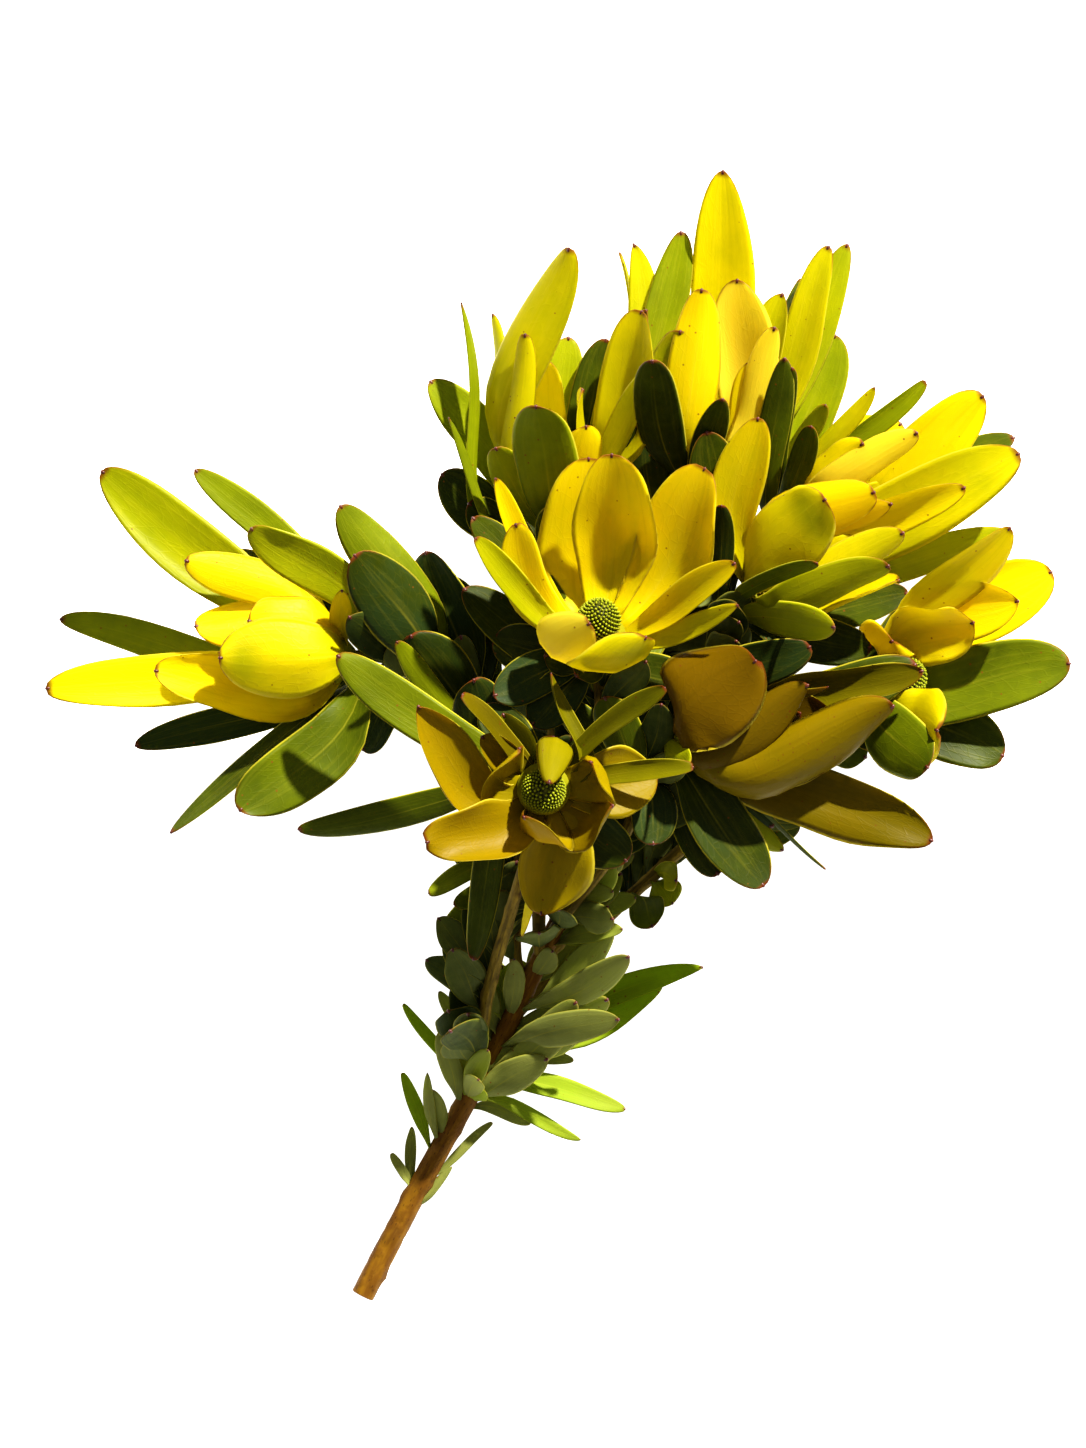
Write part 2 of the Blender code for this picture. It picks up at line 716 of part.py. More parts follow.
class Placed:
    """What has been placed so far: for each solid its node, its box, and its tree of triangles."""

    def __init__(self):
        self.solids = []

    def add(self, node, corners, triangles, outer=None):
        tree = BVHTree.FromPolygons(corners, triangles)
        outer_tree = BVHTree.FromPolygons(corners, outer) if outer else None
        self.solids.append((node, box_of(corners), tree, outer_tree))

    def crosses(self, node, corners, triangles, within_node):
        """Whether the solid crosses one of another node or, if asked, the outer part of one of its own."""
        low, high = box_of(corners)
        tree = BVHTree.FromPolygons(corners, triangles)
        for other, (other_low, other_high), other_tree, outer_tree in self.solids:
            if any(low[k] > other_high[k] or high[k] < other_low[k] for k in range(3)):
                continue
            against = other_tree if other != node else (outer_tree if within_node else None)
            if against and tree.overlap(against):
                return True
        return False


def box_of(corners):
    low = [min(corner[k] for corner in corners) for k in range(3)]
    high = [max(corner[k] for corner in corners) for k in range(3)]
    return low, high


def bends(lifts, openings):
    """Ways to bend a blade, the slightest first: a lift of its tip, and an opening of its root in degrees."""
    found = [(lift, opened) for lift in lifts for opened in openings]
    return sorted(found, key=lambda way: abs(way[0]) / LIFT_STEP + abs(way[1]) / OPENING_STEP)


LIFT_STEP = 3 * MM
OPENING_STEP = 8
SLIGHT_BENDS = bends([k * LIFT_STEP for k in range(-3, 4)], (0,))
BENDS = bends([k * LIFT_STEP for k in range(-11, 12)], (0, 12, -12, 24, -24))
SHRINKS = (1, 0.88, 0.75)


def root_triangles(facts):
    """How many of a blade's triangles lie before its second station, where it may cross its own kind."""
    return 7 if facts["kind"] in ("leaf", "small") else 10


def place(placed, node, facts, line, axis, stations, ways=BENDS, shrinks=SHRINKS, needed=True):
    """The blade, bent clear of all that stands already, or None where no bend frees it."""
    for within_node in (True, False) if needed else (True,):
        for shrink in shrinks:
            for lift, opened in ways:
                blade = Blade(facts, line, axis, lift, opened, shrink)
                corners, triangles = blade_solid(blade, stations, CLEARANCE)
                tested = triangles[root_triangles(facts) :]
                if placed.crosses(node, corners, triangles, False):
                    continue
                if within_node and placed.crosses(node, corners, tested, True):
                    continue
                corners, triangles = blade_solid(blade, stations)
                placed.add(node, corners, triangles, triangles[root_triangles(facts) :])
                return blade
    return None


def round_about(axis, angle):
    """The direction square to the axis at this angle round it, with angle 0 facing up."""
    up = (Vector((0, 0, 1)) - axis * axis.z).normalized()
    return up * cos(angle) + axis.cross(up) * sin(angle)


def hidden_bracts(name, placed, line):
    """The bracts on a head's far side, by the golden angle, until there are enough of them."""
    rule = Random(name)
    axis = head_axis(name)
    if axis.z > FACES_UP:
        return []
    base = line[-1] + axis * BRACT_HEIGHT[1] * MM
    found = []
    for k in range(HIDDEN_TRIES):
        out = round_about(axis, k * GOLDEN_ANGLE)
        spread = radians(rule.uniform(*BRACT_SPREAD))
        reach = rule.uniform(*BRACT_REACH) * MM
        if out.z > BRACT_FACES_DOWN or len(found) == HIDDEN_BRACTS:
            continue
        tip = base + axis * (reach * cos(spread)) + out * (reach * sin(spread))
        facts = ray(tuple(tip / MM), rule.uniform(*BRACT_WIDTH), height=rule.uniform(*BRACT_HEIGHT), show=0)
        blade = place(placed, "bracts_" + name, facts, line, axis, BLADE_STATIONS, SLIGHT_BENDS, (1,), False)
        if blade:
            found.append(blade)
    return found


def hidden_leaves(name, placed, line):
    """Leaves all round a branch, by the golden angle, where there is still room for them."""
    rule = Random("leaves " + name)
    found = []
    longest_back = length_of(line) + LEAFY_BACK[1] * MM
    for k in range(HIDDEN_TRIES):
        back = rule.uniform(LEAFY_BACK[0] * MM, longest_back)
        point, way = along(line, length_of(line) - back)
        out = round_about(way, k * GOLDEN_ANGLE)
        reach = rule.uniform(*LEAF_REACH) * MM
        spread = radians(rule.uniform(*LEAF_SPREAD))
        if len(found) == BRANCH_LEAVES:
            continue
        tip = point + way * (reach * cos(spread)) + out * (reach * sin(spread))
        facts = leaf(tuple(tip / MM), rule.uniform(*LEAF_WIDTH), back / MM)
        blade = place(placed, "branch_" + name, facts, line, None, BLADE_STATIONS, SLIGHT_BENDS, (1,), False)
        if blade:
            found.append(blade)
    return found


def stem_fill(placed, line):
    """Small leaves all round the upper part of the main stem."""
    rule = Random("stem")
    found = []
    for k in range(3 * STEM_LEAVES):
        share = (k % STEM_LEAVES + rule.random()) / STEM_LEAVES
        distance = LEAFY_STEM[0] + (LEAFY_STEM[1] - LEAFY_STEM[0]) * share
        point, way = along(line, distance * MM)
        out = round_about(way, k * GOLDEN_ANGLE)
        reach = rule.uniform(*SMALL_REACH) * MM
        spread = radians(rule.uniform(*SMALL_SPREAD))
        if len(found) == STEM_LEAVES:
            continue
        tip = point + way * (reach * cos(spread)) + out * (reach * sin(spread))
        facts = small_leaf(tuple(tip / MM), rule.uniform(*SMALL_WIDTH), distance)
        blade = place(placed, "main_stem", facts, line, None, SMALL_STATIONS, SLIGHT_BENDS, (1,), False)
        if blade:
            found.append(blade)
    return found


def all_blades(placed):
    """Every blade, by node: the obstacles are placed first, then the blades from the front to the back."""
    lines = {name: branch_line(name) for name in BRANCHES}
    stem = stem_line()
    placed.add("main_stem", *tube(stem, STEM_RADII, STEM_SIDES))
    for name, line in lines.items():
        placed.add("branch_" + name, *tube(line, BRANCH_RADII, BRANCH_SIDES))
        placed.add("bracts_" + name, *turned(RECEPTACLE, RECEPTACLE_SIDES, line[-1], head_axis(name), SEAT))
        placed.add("cone_" + name, *cone_solid(name, line))
    found = {"main_stem": []}
    for name, blades in BLADES.items():
        found["bracts_" + name] = []
        found["branch_" + name] = []
        for facts in blades():
            is_leaf = facts["kind"] == "leaf"
            node = ("branch_" if is_leaf else "bracts_") + name
            blade = place(placed, node, facts, lines[name], head_axis(name), BLADE_STATIONS)
            if blade:
                found[node].append(blade)
    for name, blades in resting_leaves().items():
        for facts in blades:
            blade = place(placed, "branch_" + name, facts, lines[name], None, BLADE_STATIONS)
            if blade:
                found["branch_" + name].append(blade)
    for facts in stem_blades():
        blade = place(placed, "main_stem", facts, stem, None, SMALL_STATIONS)
        if blade:
            found["main_stem"].append(blade)
    for name, line in lines.items():
        found["bracts_" + name] += hidden_bracts(name, placed, line)
    for name, line in lines.items():
        found["branch_" + name] += hidden_leaves(name, placed, line)
    found["main_stem"] += stem_fill(placed, stem)
    return found


def add_object(name, corners, triangles, collection=None):
    mesh = bpy.data.meshes.new(name)
    mesh.from_pydata(corners, [], triangles)
    mesh.validate()
    made = bpy.data.objects.new(name, mesh)
    (collection or bpy.context.scene.collection).objects.link(made)
    return made


def apply_modifiers(made):
    """Keeps the object's shape as its modifiers leave it, and drops them."""
    graph = bpy.context.evaluated_depsgraph_get()
    mesh = bpy.data.meshes.new_from_object(made.evaluated_get(graph))
    made.modifiers.clear()
    made.data = mesh


def fill_pockets(made):
    """Drops the inner shells that crossing blades close off, so that the solid has one outer shell."""
    shape = bmesh.new()
    shape.from_mesh(made.data)
    shells = []
    left = set(shape.faces)
    while left:
        shell = set()
        front = [left.pop()]
        while front:
            face = front.pop()
            shell.add(face)
            near = {other for edge in face.edges for other in edge.link_faces} & left
            left -= near
            front += near
        shells.append(shell)
    outer = max(shells, key=len)
    inner = [face for shell in shells if shell is not outer for face in shell]
    bmesh.ops.delete(shape, geom=inner, context="FACES")
    shape.to_mesh(made.data)
    shape.free()


def cut_away(made, corners, triangles):
    cutter = add_object("cutter", corners, triangles)
    cut = made.modifiers.new("cut", "BOOLEAN")
    cut.operation = "DIFFERENCE"
    cut.object = cutter
    apply_modifiers(made)
    bpy.data.objects.remove(cutter)


def join_blades(made, blades, stations):
    """Fuses the blades into what they grow from."""
    collection = bpy.data.collections.new("blades")
    bpy.context.scene.collection.children.link(collection)
    for k, blade in enumerate(blades):
        add_object(f"blade_{k}", *blade_solid(blade, stations), collection)
    union = made.modifiers.new("union", "BOOLEAN")
    union.operation = "UNION"
    union.operand_type = "COLLECTION"
    union.collection = collection
    union.solver = "MANIFOLD"
    apply_modifiers(made)
    for one in list(collection.objects):
        bpy.data.objects.remove(one)
    bpy.data.collections.remove(collection)
    fill_pockets(made)


# Materials


def material(name, colour, roughness):
    made = bpy.data.materials.new(name)
    made.use_nodes = True
    shader = made.node_tree.nodes["Principled BSDF"]
    shader.inputs["Base Color"].default_value = (*colour, 1)
    shader.inputs["Roughness"].default_value = roughness
    shader.inputs["Metallic"].default_value = 0
    made.diffuse_color = (*colour, 1)
    return made


def dress(made, finish, smooth):
    made.data.materials.clear()
    made.data.materials.append(finish)
    if smooth:
        made.data.shade_smooth()


# The part


def main():
    for old in list(bpy.data.objects):
        bpy.data.objects.remove(old)
    wood = material("orange_brown_bark", (0.28, 0.11, 0.02), 0.7)
    green = material("leaf_green", (0.06, 0.11, 0.01), 0.55)
    yellow = material("bract_yellow", (0.7, 0.55, 0.01), 0.5)
    floret = material("cone_green", (0.18, 0.22, 0.02), 0.7)
    blades = all_blades(Placed())
    stem_tube = stem_line()
    stem = add_object("main_stem", *tube(stem_tube, STEM_RADII, STEM_SIDES))
    join_blades(stem, blades["main_stem"], SMALL_STATIONS)
    dress(stem, wood, False)
    for name in BRANCHES:
        line = branch_line(name)
        axis = head_axis(name)
        branch = add_object("branch_" + name, *tube(line, BRANCH_RADII, BRANCH_SIDES, 0, axis))
        cut_away(branch, *tube(stem_tube, STEM_RADII, STEM_SIDES, SEAT))
        join_blades(branch, blades["branch_" + name], BLADE_STATIONS)
        dress(branch, green, False)
        bracts = add_object("bracts_" + name, *turned(RECEPTACLE, RECEPTACLE_SIDES, line[-1], axis, SEAT))
        join_blades(bracts, blades["bracts_" + name], BLADE_STATIONS)
        dress(bracts, yellow, False)
        cone = add_object("cone_" + name, *cone_solid(name, line))
        dress(cone, floret, False)


main()
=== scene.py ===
"""The looks of a cut leucadendron stem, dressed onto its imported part.

The frame is in metres. The surface is z = 0, +Y runs from the cut end to the flowers and +X to the right of
someone who looks down on it. The layout of the blades is the part's own, with a colour for each of them, so
that the fine blades lie where the solid ones do. Sizes and places are in millimetres, and MM turns them into
metres.
"""

from math import acos, atan2, cos, exp, pi, radians, sin, sqrt
from random import Random

import bpy
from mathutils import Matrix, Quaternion, Vector, noise
from mathutils.bvhtree import BVHTree


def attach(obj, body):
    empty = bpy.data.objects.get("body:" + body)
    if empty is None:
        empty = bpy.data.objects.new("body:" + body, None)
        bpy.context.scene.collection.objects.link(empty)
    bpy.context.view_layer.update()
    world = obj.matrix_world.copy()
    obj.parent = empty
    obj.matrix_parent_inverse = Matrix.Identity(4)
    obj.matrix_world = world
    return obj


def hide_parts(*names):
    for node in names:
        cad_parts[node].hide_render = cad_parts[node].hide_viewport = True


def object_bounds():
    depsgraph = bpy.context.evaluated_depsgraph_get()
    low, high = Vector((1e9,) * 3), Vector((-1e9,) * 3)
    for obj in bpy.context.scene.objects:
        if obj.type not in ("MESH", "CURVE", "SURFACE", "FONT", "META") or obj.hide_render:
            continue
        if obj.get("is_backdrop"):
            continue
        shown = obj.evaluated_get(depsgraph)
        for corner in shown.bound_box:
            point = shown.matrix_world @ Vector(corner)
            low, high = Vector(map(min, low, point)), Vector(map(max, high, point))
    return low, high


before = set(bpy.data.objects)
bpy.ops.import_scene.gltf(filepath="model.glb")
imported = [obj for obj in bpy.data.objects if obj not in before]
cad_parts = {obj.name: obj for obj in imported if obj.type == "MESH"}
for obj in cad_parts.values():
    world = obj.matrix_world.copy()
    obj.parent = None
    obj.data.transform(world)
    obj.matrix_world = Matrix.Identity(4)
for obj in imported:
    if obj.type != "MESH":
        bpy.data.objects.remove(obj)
PACKED_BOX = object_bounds()

MM = 0.001

# Clearance between neighbouring solids, and what a blade is kept off others by while it is placed.
SEAT = 0.3 * MM
CLEARANCE = 0.45 * MM

# Stem and branches.
STEM_RADII = (4.7 * MM, 3.4 * MM)
STEM_SIDES = 8
BRANCH_RADII = (2.7 * MM, 2.3 * MM)
BRANCH_SIDES = 6
NECK = 11 * MM

# The base that a head's bracts grow from: radius and height of each turn of its outline.
RECEPTACLE = ((2.9 * MM, 0.0), (6.6 * MM, 3 * MM), (10.4 * MM, 6.6 * MM), (10.6 * MM, 8.2 * MM))
RECEPTACLE_SIDES = 8

# The cone inside the bracts, with its florets in offset rows.
CONE_RADIUS = 10 * MM
CONE_HEIGHT = 16 * MM
CONE_FOOT = 0.74
CONE_FOOT_ENDS = radians(30)
CONE_ROUNDNESS = 0.8
CONE_ROWS = 5
CONE_SIDES = 12
FLORET_RISE = 1.1 * MM

# Blades.
BLADE_THICKNESS = 1.2 * MM
BLADE_STATIONS = (0.0, 0.28, 0.62, 0.93)
SMALL_STATIONS = (0.0, 0.3, 0.7)
FRAMES = 24
TURNED_BY = 0.4
SWAY = 0.06
TURNED = 22
LEAF_SUNK = 1.3 * MM
SMALL_SUNK = 2 * MM
BRACT_SUNK = 1.6 * MM
CURL_AT_ROOT = 0.3
CURLED_BY = 0.4
SURFACE_SOFTNESS = 7 * MM
LOWEST_SPINE = 0.9 * MM
GOLDEN_ANGLE = radians(137.5)

# What the rules for the hidden blades draw from: spreads in degrees, the rest in millimetres.
HIDDEN_BRACTS = 2
FACES_UP = 0.6
HIDDEN_TRIES = 60
BRACT_SPREAD = (18, 44)
BRACT_FACES_DOWN = -0.15
BRACT_REACH = (44, 62)
BRACT_WIDTH = (17, 26)
BRACT_HEIGHT = (3.2, 5)
BRANCH_LEAVES = 2
LEAFY_BACK = (8, -50)
LEAF_SPREAD = (32, 58)
LEAF_REACH = (36, 56)
LEAF_WIDTH = (14, 21)
STEM_LEAVES = 15
LEAFY_STEM = (90, 205)
SMALL_SPREAD = (30, 55)
SMALL_REACH = (20, 32)
SMALL_WIDTH = (9, 14)

# The main stem's centre line, from the cut end up.
MAIN_STEM = (
    (-79, -225, 4.69),
    (-59, -186, 8),
    (-38, -148, 18),
    (-19, -113, 33),
    (-3, -79, 48),
    (10, -52, 58),
)

# Each branch: how far up the main stem it starts, the points it passes to the base of its head, and the way
# that its head points.
BRANCHES = {
    "lower_front": (
        100,
        ((-29, -105, 50), (-19, -69, 76), (-11, -41, 93), (-6, -19, 103)),
        (0, -0.1, 0.99),
    ),
    "far_right": (
        131,
        ((0, -92, 30), (25, -67, 30), (75, -21, 36), (124, 23, 55)),
        (0.94, 0.08, 0.33),
    ),
    "left": (
        141,
        ((-18, -80, 46), (-15, -49, 54), (-28, -3, 54), (-53, 23, 58), (-81, 33, 62)),
        (-0.97, -0.04, 0.22),
    ),
    "right": (
        157,
        ((8, -72, 44), (22, -50, 52), (33, -29, 52), (57, 19, 58), (75, 54, 66)),
        (0.82, 0.42, 0.38),
    ),
    "upper_left": (
        161,
        ((-8, -70, 58), (-5, -52, 64), (-2, -1, 60), (-1, 47, 58), (-3, 92, 60)),
        (-0.08, 0.92, 0.38),
    ),
    "lower_right": (
        171,
        ((4, -68, 62), (17, -52, 71), (33, -25, 80), (46, 0, 84)),
        (0.9, 0.06, 0.42),
    ),
    "upper_right": (
        176,
        ((10, -58, 43), (18, -42, 40), (39, -9, 36), (73, 51, 38), (96, 92, 46)),
        (0.8, 0.55, 0.22),
    ),
    "top": (
        191,
        ((1, -48, 46), (8, -30, 42), (25, -1, 42), (43, 55, 46), (55, 106, 55)),
        (0.08, 0.95, 0.28),
    ),
    "centre": (
        203,
        ((14, -36, 64), (17, -12, 74), (16, 36, 88)),
        (0.0, 0.72, 0.69),
    ),
}

# What each kind of blade has unless it says otherwise. Heights and distances back are in millimetres.
# leave is the angle between the blade's root and its axis, and cup how far its cross section curls, in
# degrees. show is how far the blade turns its upper face up, peak where it is widest, belly how far it
# bends and flare how its tip turns. After that come how sharp a blade's tip is, how wide its root is and at
# most may be against the blade, and the powers that shape a round tip and a sharp one.
KINDS = {
    "cup": {"height": 6.2, "leave": 66, "cup": 36, "show": 0.8, "peak": 0.56, "belly": 0.38, "flare": -0.1},
    "hood": {"height": 6.4, "leave": 98, "cup": 30, "show": 0, "peak": 0.5, "belly": 0.8, "flare": -0.8},
    "ray": {"height": 3.8, "leave": 66, "cup": 22, "show": 0.85, "peak": 0.6, "belly": 0.36, "flare": 0},
    "leaf": {"leave": 52, "cup": 12, "show": 0.88, "peak": 0.62, "belly": 0.34, "flare": 0},
    "small": {"leave": 40, "cup": 12, "show": 0.85, "peak": 0.54, "belly": 0.36, "flare": 0},
}
POINTS = {"cup": 0.1, "ray": 0.15, "leaf": 0.1, "small": 0.2}
BASE_WIDTHS = {"cup": 12 * MM, "ray": 6 * MM, "leaf": 4 * MM, "small": 2.4 * MM}
WIDEST_BASE = 0.8
ROUND_TIP = (2.6, 0.52)
SHARP_TIP = 1.6


def cup(tip, width, **more):
    """A broad bract of the cup round a cone, from its tip's place and its width."""
    return {**KINDS["cup"], "kind": "cup", "tip": tip, "width": width, **more}


def hood(tip, width, side, **more):
    """A broad bract that bulges out to this side and arches back over the cone."""
    return {**KINDS["hood"], "kind": "cup", "tip": tip, "width": width, "side": side, **more}


def ray(tip, width, **more):
    """A long outer bract."""
    return {**KINDS["ray"], "kind": "ray", "tip": tip, "width": width, **more}


def leaf(tip, width, back, **more):
    """A leaf that grows this far back from the base of its head."""
    return {**KINDS["leaf"], "kind": "leaf", "tip": tip, "width": width, "back": back, **more}


def small_leaf(tip, width, distance, **more):
    """A small leaf that grows this far up the main stem from its cut end."""
    return {**KINDS["small"], "kind": "small", "tip": tip, "width": width, "distance": distance, **more}


